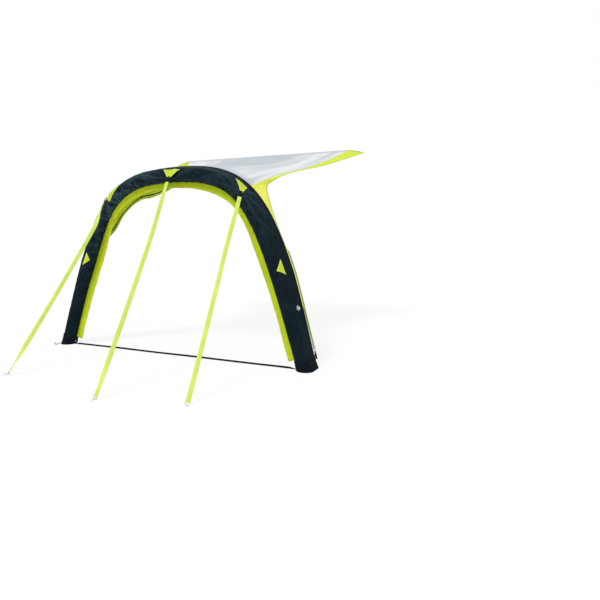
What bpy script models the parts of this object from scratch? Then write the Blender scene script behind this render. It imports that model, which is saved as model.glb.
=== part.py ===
"""Inflatable caravan awning, pitched: an air arch on two boots, a roof sheet sewn to the
arch's fin and held by a keder in the caravan's rail, two side wings and three pegged guys.

Metres, +Z up. The origin is the middle of the keder's bead, X runs along the caravan's
wall, -Y leads away from the wall, and the ground lies RAIL_HEIGHT below the origin.
"""

import math

import bmesh
import bpy
from mathutils import Matrix, Vector

# Place of the rail and of the feet
RAIL_HEIGHT = 2.316
RAIL_DEPTH = 2.217
RAIL_HALF_STRAIGHT = 1.239
RAIL_END_RUN = 0.188
RAIL_END_DROP = 0.041

# Centreline of the air arch: two mirrored cubic curves from a foot to the crown
FOOT_HALF_SPACING = 1.425
ARCH_RISE = 1.7975
LEG_HANDLE_IN = 0.49
LEG_HANDLE_UP = 1.5354
CROWN_HANDLE = 0.807
CROWN_SETBACK = 0.1141
ARCH_WALL_FOOT_HEIGHT = 0.035

# Air tube, its sleeve and the fin that the roof is sewn to
TUBE_RADIUS = 0.0745
SLEEVE_WALL = 0.0012
BLADDER_WALL = 0.001
BLADDER_GAP = 0.0007
FIN_OUT = 0.1126
FIN_BACK = 0.1281
FIN_FULL_HEIGHT = 0.84
FIN_FOOT_SHARE = 0.74
ARC_INNER_STEPS = 3
ARC_FRONT_STEPS = 8
FLANK_STEPS = 2
BLADDER_OPEN_STEPS = 4
LEG_LOW_STEPS = 3
LEG_HIGH_STEPS = 12
CROWN_STEPS = 11
SHOULDER_SHARE = 0.6
WING_TAIL_SHARE = 0.128

# Lime flap along the arch's inner edge. Each row is a share of the arch, the tip's place
# inwards and backwards as shares of TUBE_RADIUS, and how far the root turns to the back
# as a share of a right angle.
FLAP_SHARES = (
    (0.0, 1.92, 0.21, 0.08),
    (0.13, 1.88, 0.40, 0.11),
    (0.27, 2.04, 0.48, 0.30),
    (0.52, 1.60, 0.12, 0.03),
    (0.75, 1.76, 0.16, 0.07),
    (1.0, 1.60, 0.15, 0.14),
)
FLAP_THICKNESS = 0.002
FLAP_GAP = 0.0014

# Boots
BOOT_HEIGHT = 0.1
BOOT_WALL = 0.0025
BOOT_GAP = 0.0008
BOOT_SOLE = 0.004
BOOT_WAIST_HEIGHT = 0.06
BOOT_FLARE_SHARE = 1.05

# Roof sheet, wings and their hems
CLOTH_THICKNESS = 0.002
SEAM_GAP = 0.0009
SEAM_CORNER_GAP = 0.0024
ROOF_LENGTH_STEPS = 12
ROOF_FOLD_DEPTH = 0.012
ROOF_FOLD_COUNT = 5
WING_WIDTH_STEPS = 4
FREE_EDGE_FINE_STEPS = 200
HEM_WIDTH = 0.012
HEM_THICKNESS = 0.0026
HEM_GAP = 0.0012

# Seam between roof and wing, shoulder to rail, and the wing's free edge, rail to leg.
# Each row is a share of FOOT_HALF_SPACING, RAIL_DEPTH and RAIL_HEIGHT, from the feet's
# middle on the ground.
ROOF_SEAM_SHARES = (
    (0.541, 0.271, 0.767),
    (0.545, 0.451, 0.812),
    (0.625, 0.654, 0.864),
    (0.721, 0.812, 0.918),
)
FREE_EDGE_SHARES = (
    (0.891, 0.880, 0.938),
    (0.731, 0.722, 0.880),
    (0.611, 0.564, 0.839),
    (0.575, 0.406, 0.798),
    (0.547, 0.316, 0.765),
    (0.553, 0.262, 0.738),
    (0.588, 0.221, 0.700),
    (0.619, 0.201, 0.665),
    (0.652, 0.180, 0.629),
    (0.717, 0.153, 0.555),
)
# Place in the table above of the point that faces the shoulder, and how fast the rows
# turn square to the seam behind it
SHOULDER_ROW = 7
ROW_TURN_POWER = 6
# Low on the leg the wing is a narrow strip past the fin
WING_STRIP_STEPS = 4
WING_STRIP_WIDTH = 0.006

# Keder: a cord inside a tape whose tail is sewn to the roof
KEDER_CORD_RADIUS = 0.0025
KEDER_BORE_RADIUS = 0.0029
KEDER_RADIUS = 0.0037
KEDER_TAIL = 0.014
KEDER_TAIL_THICKNESS = 0.0014
KEDER_ARC_POINTS = 9

# Tail strap of a wing, its elastic ring and the tab on the boot
TAIL_STRAP_WIDTH = 0.018
TAIL_STRAP_THICKNESS = 0.002
TAIL_STRAP_FOOT_SHARE = 0.034
TAIL_HOLE_RADIUS = 0.0045
TAIL_HOLE_INSET = 0.008
TAIL_RING_RADIUS = 0.018
TAIL_RING_WIRE_RADIUS = 0.002

# Sewn patches, as runs round the sleeve's skin
PATCH_THICKNESS = 0.0024
PATCH_LIFT = 0.0009
SHOULDER_TAB_WIDTH = 0.15
CROWN_TAB_WIDTH = 0.19
TAB_TIP_WIDTH = 0.024
SHOULDER_TAB_RISE = 0.12
SHOULDER_TAB_PAST = 0.015
CROWN_TAB_RISE = 0.01
CROWN_TAB_PAST = 0.108
# Corners of the leg patches: outer, inner, tip. Each is a share of the arch and a run
# round the skin as a share of TUBE_RADIUS.
LEG_PATCH_SHARES = {
    -1: ((0.2364, -1.267), (0.2616, -2.14), (0.288, -1.389)),
    1: ((0.2168, 0.35), (0.2336, -0.901), (0.2664, 0.22)),
}
LEG_PATCH_TIP_SHARE = 0.09
PATCH_ROWS = 8
PATCH_COLUMNS = 5

# Guys: share of the arch where each starts, its side, and where its ring lies on the ground
GUY_SHARES = {"left": 0.565, "crown": 0.99, "right": 0.57}
GUY_PEGS = {
    "left": (-0.948, -1.049),
    "crown": (0.217, -1.225),
    "right": (0.921, -1.076),
}
RING_REST_HEIGHT = 0.016
GUY_LOOP_REACH = 0.032
GUY_LOOP_OVERLAP = 0.018
GUY_LOOP_WIDTH = 0.028
GUY_LOOP_TAIL_THICKNESS = 0.003
GUY_WEBBING_WIDTH = 0.035
GUY_WEBBING_THICKNESS = 0.0024
EYE_WALL = 0.0016
EYE_CLEARANCE = 0.0006
EYE_STEPS = 14
BUTT_GAP = 0.0004

# Ladder-lock buckle of a guy
BUCKLE_BAR = 0.004
BUCKLE_THICKNESS = 0.0035
BUCKLE_WINDOW = 0.0065
BUCKLE_SIDE = 0.0038
BUCKLE_INNER_WIDTH = 0.0362

# D-ring and pegs
D_RING_RADIUS = 0.0207
D_RING_WIRE_RADIUS = 0.002
D_RING_STEPS = 10
PEG_RADIUS = 0.0025
PEG_LENGTH = 0.19
PEG_HOOK_RADIUS = 0.008
PEG_HOOK_RISE = 0.02
PEG_HOOK_RETURN = 0.006
PEG_POINT_LENGTH = 0.014
PEG_POINT_SHARE = 0.25
PEG_HOOK_STEPS = 6

# Boot pegs: offset from the foot's middle, and the elastic loop that each peg holds
BOOT_PEG_OUT = 0.059
BOOT_PEG_BACK = 0.125
BOOT_LOOP_RADIUS = 0.0022
BOOT_LOOP_HEIGHT = 0.022
BOOT_LOOP_GAP = 0.0012
BOOT_LOOP_PEG_HEIGHT = 0.008
BOOT_LOOP_STEPS = 6
BOOT_PEG_LENGTH = 0.16

# Ground strap between the boots and its eyelets
GROUND_STRAP_WIDTH = 0.02
GROUND_STRAP_THICKNESS = 0.002
GROUND_STRAP_LIFT = 0.0006
GROUND_STRAP_TURN_UP = 0.045
GROUND_STRAP_GAP = 0.0012
EYELET_OUTER_RADIUS = 0.0085
EYELET_INNER_RADIUS = 0.0045
EYELET_THICKNESS = 0.0014

# Inflation valve, on the right leg's outer flank
VALVE_SHARE = 0.128
VALVE_RUN = 0.045
VALVE_FLANGE_RADIUS = 0.0195
VALVE_FLANGE_THICKNESS = 0.0025
VALVE_COLLAR_RADIUS = 0.0155
VALVE_COLLAR_HEIGHT = 0.009
VALVE_BARREL_RADIUS = 0.0118
VALVE_BARREL_DEPTH = 0.02
VALVE_BORE_RADIUS = 0.0085
VALVE_SEAT_RADIUS = 0.006
VALVE_SEAT_DEPTH = 0.008
VALVE_SEAT_THICKNESS = 0.002
VALVE_FIT = 0.0004
NECK_BORE_RADIUS = 0.0123
NECK_WALL = 0.0012
NECK_DEPTH = 0.05
DIAPHRAGM_THICKNESS = 0.0014
PLUNGER_STEM_RADIUS = 0.002
PLUNGER_HEAD_RADIUS = 0.0075
PLUNGER_HEAD_THICKNESS = 0.0018
PLUNGER_BUTTON_RADIUS = 0.0048
PLUNGER_BUTTON_THICKNESS = 0.0025
PLUNGER_TRAVEL = 0.003
CAP_WALL = 0.0016
CAP_HEIGHT = 0.0105
CAP_FIT = 0.0006
CAP_HINGE_REACH = 0.0235
CAP_HINGE_HEIGHT = 0.0048
CAP_PIN_RADIUS = 0.0012
CAP_KNUCKLE_RADIUS = 0.0028
CAP_KNUCKLE_WIDTH = 0.01
CAP_LUG_WIDTH = 0.0022
TURNED_STEPS = 24
CUT_OVERRUN = 0.002

GROUND_Z = -RAIL_HEIGHT
FEET_Y = -RAIL_DEPTH
LEAN = math.asin(CROWN_SETBACK / ARCH_RISE)
FIN_REACH = math.hypot(FIN_OUT, FIN_BACK)
FIN_ANGLE = math.atan2(FIN_BACK, FIN_OUT)
X_AXIS = Vector((1, 0, 0))
Y_AXIS = Vector((0, 1, 0))
Z_AXIS = Vector((0, 0, 1))

# Material name: sRGB colour, roughness, metallic
FINISHES = {
    "sleeve_polyester": ("#22303A", 0.78, 0.0),
    "lime_polyester": ("#C3D428", 0.75, 0.0),
    "wing_polyester": ("#E9EF4A", 0.72, 0.0),
    "roof_polyester": ("#C6CED3", 0.62, 0.0),
    "boot_polyester": ("#12171C", 0.85, 0.0),
    "black_webbing": ("#15181B", 0.82, 0.0),
    "lime_webbing": ("#D8EE78", 0.7, 0.0),
    "clear_tpu": ("#C9D2D6", 0.35, 0.0),
    "keder_pvc": ("#8E9499", 0.45, 0.0),
    "acetal": ("#101214", 0.4, 0.0),
    "zinc_steel": ("#B4B8BA", 0.35, 1.0),
    "valve_nylon": ("#AEB6BA", 0.45, 0.0),
    "rubber": ("#1B1C1D", 0.8, 0.0),
}


def linear(level):
    """One sRGB channel, 0 to 1, as a linear value."""
    if level <= 0.04045:
        return level / 12.92
    return ((level + 0.055) / 1.055) ** 2.4


def make_material(name):
    """A Principled material from FINISHES."""
    colour, roughness, metallic = FINISHES[name]
    channels = [linear(int(colour[i : i + 2], 16) / 255) for i in (1, 3, 5)]
    material = bpy.data.materials.new(name)
    material.use_nodes = True
    shader = material.node_tree.nodes["Principled BSDF"]
    shader.inputs["Base Color"].default_value = (*channels, 1)
    shader.inputs["Roughness"].default_value = roughness
    shader.inputs["Metallic"].default_value = metallic
    material.diffuse_color = (*channels, 1)
    return material


def start_scene():
    """Empty the scene and make the two collections."""
    for old in list(bpy.data.objects):
        bpy.data.objects.remove(old)
    for name in ("caravan_awning", "cutters"):
        made = bpy.data.collections.new(name)
        bpy.context.scene.collection.children.link(made)
    return {name: make_material(name) for name in FINISHES}


def add_object(name, data, material, frame=None):
    """Link a mesh or curve as a named part."""
    item = bpy.data.objects.new(name, data)
    data.materials.append(MATERIALS[material])
    bpy.data.collections["caravan_awning"].objects.link(item)
    if frame is not None:
        item.matrix_world = frame
    return item


def add_cutter(name, data, frame=None):
    """Link a mesh as a cutter, which isn't part of the model."""
    item = bpy.data.objects.new(name, data)
    bpy.data.collections["cutters"].objects.link(item)
    item.hide_render = True
    item.display_type = "WIRE"
    if frame is not None:
        item.matrix_world = frame
    return item


def boolean(item, cutter, operation="DIFFERENCE"):
    """Cut or join one object with another."""
    modifier = item.modifiers.new(cutter.name, "BOOLEAN")
    modifier.object = cutter
    modifier.operation = operation


def finish_mesh(bm, name, smooth=True):
    """Turn a bmesh into a mesh whose faces point out."""
    bmesh.ops.remove_doubles(bm, verts=bm.verts, dist=PATCH_LIFT / 1000)
    bmesh.ops.recalc_face_normals(bm, faces=bm.faces)
    mesh = bpy.data.meshes.new(name)
    bm.to_mesh(mesh)
    bm.free()
    if smooth:
        mesh.shade_smooth()
        mesh.set_sharp_from_angle(angle=math.radians(40))
    return mesh


def frame_matrix(x_axis, y_axis, z_axis, origin):
    """A matrix with these columns."""
    matrix = Matrix((x_axis, y_axis, z_axis)).transposed().to_4x4()
    matrix.translation = origin
    return matrix


# Lofts

def skin(bm, rings, closed=True):
    """Vertices and side faces through rings of equal length; returns the vertex rings."""
    made = [[bm.verts.new(point) for point in ring] for ring in rings]
    count = len(rings[0])
    for low, high in zip(made, made[1:]):
        for i in range(count if closed else count - 1):
            j = (i + 1) % count
            bm.faces.new((low[i], low[j], high[j], high[i]))
    return made


def rim(bm, outer, inner):
    """The ring-shaped face between two loops of equal length."""
    for i in range(len(outer)):
        j = (i + 1) % len(outer)
        bm.faces.new((outer[i], outer[j], inner[j], inner[i]))


def solid_loft(name, rings):
    """A closed bar through rings."""
    bm = bmesh.new()
    made = skin(bm, rings)
    bm.faces.new(made[0])
    bm.faces.new(made[-1])
    return finish_mesh(bm, name)


def pipe_loft(name, outer, inner):
    """A shell open at both ends, from outer and inner rings."""
    bm = bmesh.new()
    outside = skin(bm, outer)
    inside = skin(bm, inner)
    rim(bm, outside[0], inside[0])
    rim(bm, outside[-1], inside[-1])
    return finish_mesh(bm, name)


def cup_loft(name, outer, inner):
    """A shell closed at its first rings and open at its last."""
    bm = bmesh.new()
    outside = skin(bm, outer)
    inside = skin(bm, inner)
    bm.faces.new(outside[0])
    bm.faces.new(inside[0])
    rim(bm, outside[-1], inside[-1])
    return finish_mesh(bm, name)


def slab_loft(name, top, bottom):
    """A closed slab between two grids of equal size, such as a patch's two faces."""
    bm = bmesh.new()
    upper = skin(bm, top, closed=False)
    lower = skin(bm, bottom, closed=False)

    def border(grid):
        edge = list(grid[0])
        edge += [row[-1] for row in grid[1:]]
        edge += grid[-1][-2::-1]
        edge += [row[0] for row in grid[-2:0:-1]]
        return edge

    rim(bm, border(upper), border(lower))
    return finish_mesh(bm, name)


def sheet(name, grid, material, thickness):
    """An open grid of cloth with a Solidify that grows both ways."""
    bm = bmesh.new()
    skin(bm, grid, closed=False)
    item = add_object(name, finish_mesh(bm, name), material)
    wall = item.modifiers.new("cloth", "SOLIDIFY")
    wall.thickness = thickness
    wall.offset = 0
    return item


# Flat, turned and wire pieces

def plate_mesh(name, outline, holes, thickness):
    """A flat outline with holes, extruded both ways from local Z 0."""
    curve = bpy.data.curves.new(name, "CURVE")
    curve.dimensions = "2D"
    curve.fill_mode = "BOTH"
    curve.extrude = thickness / 2
    for loop in (outline, *holes):
        spline = curve.splines.new("POLY")
        spline.points.add(len(loop) - 1)
        for point, (x, y) in zip(spline.points, loop):
            point.co = (x, y, 0, 1)
        spline.use_cyclic_u = True
    guide = bpy.data.objects.new(name, curve)
    bpy.context.scene.collection.objects.link(guide)
    evaluated = guide.evaluated_get(bpy.context.evaluated_depsgraph_get())
    mesh = bpy.data.meshes.new_from_object(evaluated)
    bpy.data.objects.remove(guide)
    bm = bmesh.new()
    bm.from_mesh(mesh)
    return finish_mesh(bm, name)


def circle(radius, centre=(0, 0), steps=EYE_STEPS):
    """Points of a circle in the plane of a plate."""
    turns = [2 * math.pi * (i + 0.5) / steps for i in range(steps)]
    return [
        (centre[0] + radius * math.cos(a), centre[1] + radius * math.sin(a))
        for a in turns
    ]


def rectangle(low_x, low_y, high_x, high_y):
    """Corners of a rectangle in the plane of a plate."""
    return [(low_x, low_y), (high_x, low_y), (high_x, high_y), (low_x, high_y)]


def turned_mesh(name, profile, closed_profile, steps=TURNED_STEPS):
    """A profile of (radius, height) spun round local Z."""
    bm = bmesh.new()
    points = [bm.verts.new((radius, 0, height)) for radius, height in profile]
    edges = [bm.edges.new(pair) for pair in zip(points, points[1:])]
    if closed_profile:
        edges.append(bm.edges.new((points[-1], points[0])))
    bmesh.ops.spin(
        bm, geom=points + edges, cent=(0, 0, 0), axis=(0, 0, 1),
        angle=2 * math.pi, steps=steps, use_merge=True,
    )
    return finish_mesh(bm, name)


def cylinder_mesh(name, radius, low, high, steps=TURNED_STEPS):
    """A solid cylinder along local Z."""
    profile = ((0, low), (radius, low), (radius, high), (0, high))
    return turned_mesh(name, profile, False, steps)


def box_mesh(name, low, high):
    """A box between two corners."""
    bm = bmesh.new()
    bmesh.ops.create_cube(bm, size=1)
    low, high = Vector(low), Vector(high)
    bmesh.ops.scale(bm, verts=bm.verts, vec=high - low)
    bmesh.ops.translate(bm, verts=bm.verts, vec=(low + high) / 2)
    return finish_mesh(bm, name, smooth=False)


def wire(name, points, radius, material, frame=None, cyclic=False, tip_share=1):
    """A round wire through points, thinner at its last point if asked."""
    curve = bpy.data.curves.new(name, "CURVE")
    curve.dimensions = "3D"
    curve.bevel_depth = radius
    curve.bevel_resolution = 2
    curve.use_fill_caps = not cyclic
    curve.twist_mode = "MINIMUM"
    spline = curve.splines.new("POLY")
    spline.points.add(len(points) - 1)
    for place, point in zip(spline.points, points):
        place.co = (*point, 1)
    spline.points[len(points) - 1].radius = tip_share
    spline.use_cyclic_u = cyclic
    return add_object(name, curve, material, frame)


# Arch geometry

class Station:
    """A place on the arch: its centre and the directions out, back and along to the crown."""

    def __init__(self, share, side):
        if share > 1:
            share, side = 2 - share, -side
        rest = 1 - share
        handles = (
            Vector((FOOT_HALF_SPACING, 0)),
            Vector((FOOT_HALF_SPACING - LEG_HANDLE_IN, LEG_HANDLE_UP)),
            Vector((CROWN_HANDLE, ARCH_RISE)),
            Vector((0, ARCH_RISE)),
        )
        foot, leg, crown, top = handles
        place = (
            foot * rest**3
            + leg * (3 * rest**2 * share)
            + crown * (3 * rest * share**2)
            + top * share**3
        )
        slope = (
            (leg - foot) * (3 * rest**2)
            + (crown - leg) * (6 * rest * share)
            + (top - crown) * (3 * share**2)
        )
        self.share = share
        self.speed = slope.length
        slope.normalize()
        tilt = Vector((0, math.sin(LEAN), math.cos(LEAN)))
        self.back = Vector((0, math.cos(LEAN), -math.sin(LEAN)))
        self.height = place.y * math.cos(LEAN)
        self.centre = (
            X_AXIS * (side * place.x)
            + tilt * place.y
            + Vector((0, FEET_Y, GROUND_Z))
        )
        self.along = X_AXIS * (side * slope.x) + tilt * slope.y
        self.out = X_AXIS * (side * slope.y) - tilt * slope.x
        rise = min(1, self.height / FIN_FULL_HEIGHT)
        self.fin = FIN_FOOT_SHARE + (1 - FIN_FOOT_SHARE) * rise

    def at(self, out, back):
        """A point of the section, as offsets from the tube's middle."""
        return self.centre + self.out * out + self.back * back

    def turn(self, angle):
        """The direction at an angle from out towards back."""
        return self.out * math.cos(angle) + self.back * math.sin(angle)

    def flank_angle(self):
        """Angle of the outer flank's normal, where the skin leaves the tube for the fin."""
        return FIN_ANGLE - math.acos(TUBE_RADIUS / (FIN_REACH * self.fin))

    def tube_angles(self):
        """Angles of the skin's corners on the tube, from the inner flank round the front."""
        outer = self.flank_angle()
        angles = spread(2 * FIN_ANGLE - outer, math.pi, ARC_INNER_STEPS)
        return angles + spread(math.pi, 2 * math.pi + outer, ARC_FRONT_STEPS)[1:]

    def flap_row(self):
        """The flap's middle line at this station: root on the skin, then tip."""
        rows = FLAP_SHARES
        low, high = next(
            pair for pair in zip(rows, rows[1:]) if self.share <= pair[1][0]
        )
        part = (self.share - low[0]) / (high[0] - low[0])
        part = part * part * (3 - 2 * part)
        inward, back, turned = (a + (b - a) * part for a, b in zip(low[1:], high[1:]))
        angle = math.pi - turned * math.pi / 2
        root = self.centre + self.turn(angle) * (self.tube_reach(angle) + FLAP_GAP)
        return [root, self.at(-inward * TUBE_RADIUS, back * TUBE_RADIUS)]

    def tube_reach(self, angle):
        """Reach of the skin's straight facets on the tube's front at an angle."""
        turns = self.tube_angles()
        for low, high in zip(turns, turns[1:]):
            if low <= angle % (2 * math.pi) <= high or low <= angle + 2 * math.pi <= high:
                middle = (low + high) / 2
                return TUBE_RADIUS * math.cos((high - low) / 2) / math.cos(angle - middle)
        return TUBE_RADIUS

    def section(self, scale=1):
        """The sleeve's tear-drop section: tube, two flat flanks and the fin's edge."""
        points = [
            Vector((math.cos(a), math.sin(a))) * TUBE_RADIUS for a in self.tube_angles()
        ]
        tip = Vector((FIN_OUT, FIN_BACK)) * self.fin
        last, first = points[-1], points[0]
        steps = [i / FLANK_STEPS for i in range(1, FLANK_STEPS)]
        points += [last.lerp(tip, share) for share in steps]
        points.append(tip)
        points += [tip.lerp(first, share) for share in steps]
        return [self.at(p.x * scale, p.y * scale) for p in points]

    def fin_edge(self, past=0, lift=0):
        """A point past the fin's edge, and off to its outer side."""
        reach = FIN_REACH * self.fin + past
        return (
            self.centre
            + self.turn(FIN_ANGLE) * reach
            + self.turn(FIN_ANGLE - math.pi / 2) * lift
        )

    def skin_point(self, run, leave=None, lift=0):
        """A point of the outer skin. Runs up the flank are positive and runs round the
        tube's front negative; below leave the surface goes on straight."""
        angle = self.flank_angle()
        past = run
        if run < 0:
            kept = run if leave is None else max(run, leave)
            angle += kept / TUBE_RADIUS
            past = run - kept
        return (
            self.centre
            + self.turn(angle) * (TUBE_RADIUS + lift)
            + self.turn(angle + math.pi / 2) * past
        )


def share_at_height(height):
    """The share of the arch at a height above the ground, by halving."""
    low, high = 0.0, 1.0
    for _ in range(40):
        middle = (low + high) / 2
        if Station(middle, 1).height < height:
            low = middle
        else:
            high = middle
    return low


def spread(start, end, steps):
    """Evenly spaced values from start to end."""
    return [start + (end - start) * i / steps for i in range(steps + 1)]


def leg_shares(start):
    """Shares of the sleeve's rings from a start near the ground up to the crown."""
    waist = share_at_height(BOOT_WAIST_HEIGHT)
    top = share_at_height(BOOT_HEIGHT)
    shares = [share for share in (start, waist) if start <= share < top]
    shares += spread(max(start, top), WING_TAIL_SHARE, LEG_LOW_STEPS)
    shares += spread(WING_TAIL_SHARE, SHOULDER_SHARE, LEG_HIGH_STEPS)[1:]
    shares += spread(SHOULDER_SHARE, 1, CROWN_STEPS)[1:]
    return shares


def arch_stations(start):
    """Stations from the left foot over the crown to the right foot."""
    shares = leg_shares(start)
    left = [Station(share, -1) for share in shares]
    right = [Station(share, 1) for share in shares[-2::-1]]
    return left + right


def ground_point(share_x, share_y, share_z, side):
    """A point from shares of the awning's sizes, from the feet's middle on the ground."""
    return Vector(
        (
            side * share_x * FOOT_HALF_SPACING,
            FEET_Y + share_y * RAIL_DEPTH,
            GROUND_Z + share_z * RAIL_HEIGHT,
        )
    )


def smooth_path(points, count):
    """Evenly spaced points along a Catmull-Rom curve through the given ones."""
    ends = [points[0] * 2 - points[1], *points, points[-1] * 2 - points[-2]]
    fine = []
    per_span = 24
    for a, b, c, d in zip(ends, ends[1:], ends[2:], ends[3:]):
        for i in range(per_span):
            t = i / per_span
            fine.append(
                (
                    b * 2
                    + (c - a) * t
                    + (a * 2 - b * 5 + c * 4 - d) * t**2
                    + (b * 3 - a - c * 3 + d) * t**3
                )
                / 2
            )
    fine.append(points[-1])
    runs = [0.0]
    for a, b in zip(fine, fine[1:]):
        runs.append(runs[-1] + (b - a).length)
    path = []
    k = 0
    for i in range(count + 1):
        wanted = runs[-1] * i / count
        while k < len(runs) - 2 and runs[k + 1] < wanted:
            k += 1
        part = (wanted - runs[k]) / (runs[k + 1] - runs[k])
        path.append(fine[k].lerp(fine[k + 1], min(1, max(0, part))))
    return path


# The arch

def build_arch():
    """Sleeve, bladder with its valve neck, and the lime flap."""
    start = share_at_height(ARCH_WALL_FOOT_HEIGHT)
    stations = arch_stations(start)
    inner_scale = (TUBE_RADIUS - SLEEVE_WALL) / TUBE_RADIUS
    outer = [station.section() for station in stations]
    inner = [station.section(inner_scale) for station in stations]
    sleeve = add_object(
        "arch_sleeve", pipe_loft("arch_sleeve", outer, inner), "sleeve_polyester"
    )

    bladder_radius = TUBE_RADIUS - SLEEVE_WALL - BLADDER_GAP

    def bladder_ring(radius, station):
        turns = station.tube_angles()[::2]
        turns += spread(turns[-1], turns[0] + 2 * math.pi, BLADDER_OPEN_STEPS)[1:-1]
        return [station.centre + station.turn(a) * radius for a in turns]

    def bladder_rings(radius, places):
        return [bladder_ring(radius, station) for station in places]

    inside = bladder_radius - BLADDER_WALL
    low = share_at_height(ARCH_WALL_FOOT_HEIGHT + BLADDER_WALL)
    bladder = add_object(
        "air_tube",
        solid_loft("air_tube", bladder_rings(bladder_radius, stations)),
        "clear_tpu",
    )
    hollow = add_cutter(
        "air_tube_hollow",
        solid_loft("air_tube_hollow", bladder_rings(inside, arch_stations(low))),
    )
    valve = valve_frame()
    neck_top = -(SLEEVE_WALL + BLADDER_GAP)
    neck = add_cutter(
        "valve_neck",
        cylinder_mesh(
            "valve_neck", NECK_BORE_RADIUS + NECK_WALL, -NECK_DEPTH, neck_top
        ),
        valve,
    )
    bore = add_cutter(
        "valve_neck_bore",
        cylinder_mesh("valve_neck_bore", NECK_BORE_RADIUS, -NECK_DEPTH, CUT_OVERRUN),
        valve,
    )
    boolean(bladder, neck, "UNION")
    boolean(bladder, hollow)
    boolean(bladder, bore)
    boolean(sleeve, bore)

    flap_start = share_at_height(BOOT_HEIGHT + CUT_OVERRUN)
    rows = [station.flap_row() for station in arch_stations(flap_start)]
    sheet("arch_flap", rows, "lime_polyester", FLAP_THICKNESS)


def boot_scale():
    """Scale of the boot's outside against the sleeve's section."""
    return (TUBE_RADIUS + BOOT_GAP + BOOT_WALL) / TUBE_RADIUS


def boot_point(side, angle, height, gap):
    """A point beside the boot's wall, at an angle and a height above the ground."""
    waist = Station(share_at_height(BOOT_WAIST_HEIGHT), side)
    reach = waist.tube_reach(angle) * boot_scale()
    upper = waist.centre + waist.turn(angle) * (reach + gap)
    lower = waist.centre + waist.turn(angle) * (reach * BOOT_FLARE_SHARE + gap)
    lower -= waist.along * ((lower.z - GROUND_Z) / waist.along.z)
    return lower.lerp(upper, height / (upper.z - GROUND_Z))


def build_boot(name, side):
    """A cup under one leg, cut flat on the ground, with its sole inside."""
    top = Station(share_at_height(BOOT_HEIGHT), side)
    waist = Station(share_at_height(BOOT_WAIST_HEIGHT), side)
    outer_scale = boot_scale()
    inner_scale = (TUBE_RADIUS + BOOT_GAP) / TUBE_RADIUS

    def dropped(scale, height):
        level = GROUND_Z + height
        ring = waist.section(scale)
        return [
            point - waist.along * ((point.z - level) / waist.along.z)
            for point in ring
        ]

    outer = [
        dropped(outer_scale * BOOT_FLARE_SHARE, 0),
        waist.section(outer_scale),
        top.section(outer_scale),
    ]
    inner = [
        dropped(inner_scale * BOOT_FLARE_SHARE, BOOT_SOLE),
        waist.section(inner_scale),
        top.section(inner_scale),
    ]
    add_object(name, cup_loft(name, outer, inner), "boot_polyester")


# Cloth

def fin_seam(side, shares):
    """Points just past the fin's edge, where the roof or a wing is sewn on."""
    return [Station(share, side).fin_edge(SEAM_GAP) for share in shares]


def rail_point(x):
    """The rail's line, which drops past its straight part; the cloth ends before it."""
    past = max(0, abs(x) - RAIL_HALF_STRAIGHT) / RAIL_END_RUN
    return Vector((x, -KEDER_TAIL - SEAM_GAP, -RAIL_END_DROP * past))


def roof_seam(side, steps):
    """The line between roof and wing, from the shoulder to the rail."""
    points = [Station(SHOULDER_SHARE, side).fin_edge(SEAM_GAP)]
    points += [ground_point(*row, side) for row in ROOF_SEAM_SHARES]
    points.append(rail_point(side * RAIL_HALF_STRAIGHT))
    return smooth_path(points, steps)


def build_roof():
    """The roof sheet: a Coons patch between fin, rail and the two seams, with folds."""
    shares = spread(SHOULDER_SHARE, 1, CROWN_STEPS)
    front = fin_seam(-1, shares) + fin_seam(1, shares[-2::-1])
    left = roof_seam(-1, ROOF_LENGTH_STEPS)
    right = roof_seam(1, ROOF_LENGTH_STEPS)
    last = len(front) - 1
    back = [
        rail_point(RAIL_HALF_STRAIGHT * (2 * i / last - 1)) for i in range(last + 1)
    ]
    grid = []
    for k in range(ROOF_LENGTH_STEPS + 1):
        v = k / ROOF_LENGTH_STEPS
        row = []
        for i in range(last + 1):
            u = i / last
            between = front[i].lerp(back[i], v) + left[k].lerp(right[k], u)
            corners = front[0].lerp(front[last], u).lerp(back[0].lerp(back[last], u), v)
            edge_share = abs(2 * u - 1)
            swell = math.sin(math.pi * v) ** 2 * edge_share**2 * (1 - edge_share) * 4
            fold = math.cos(2 * math.pi * ROOF_FOLD_COUNT * edge_share)
            point = between - corners + Z_AXIS * (ROOF_FOLD_DEPTH * swell * fold)
            row.append(point)
        grid.append(row)
    sheet("roof_panel", grid, "roof_polyester", CLOTH_THICKNESS)


def at_depth(path, depth):
    """The point of a path that leads back to the wall, at a distance from the wall."""
    for a, b in zip(path, path[1:]):
        if b.y >= depth:
            return a.lerp(b, max(0, (depth - a.y) / (b.y - a.y)))
    return path[-1].copy()


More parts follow.
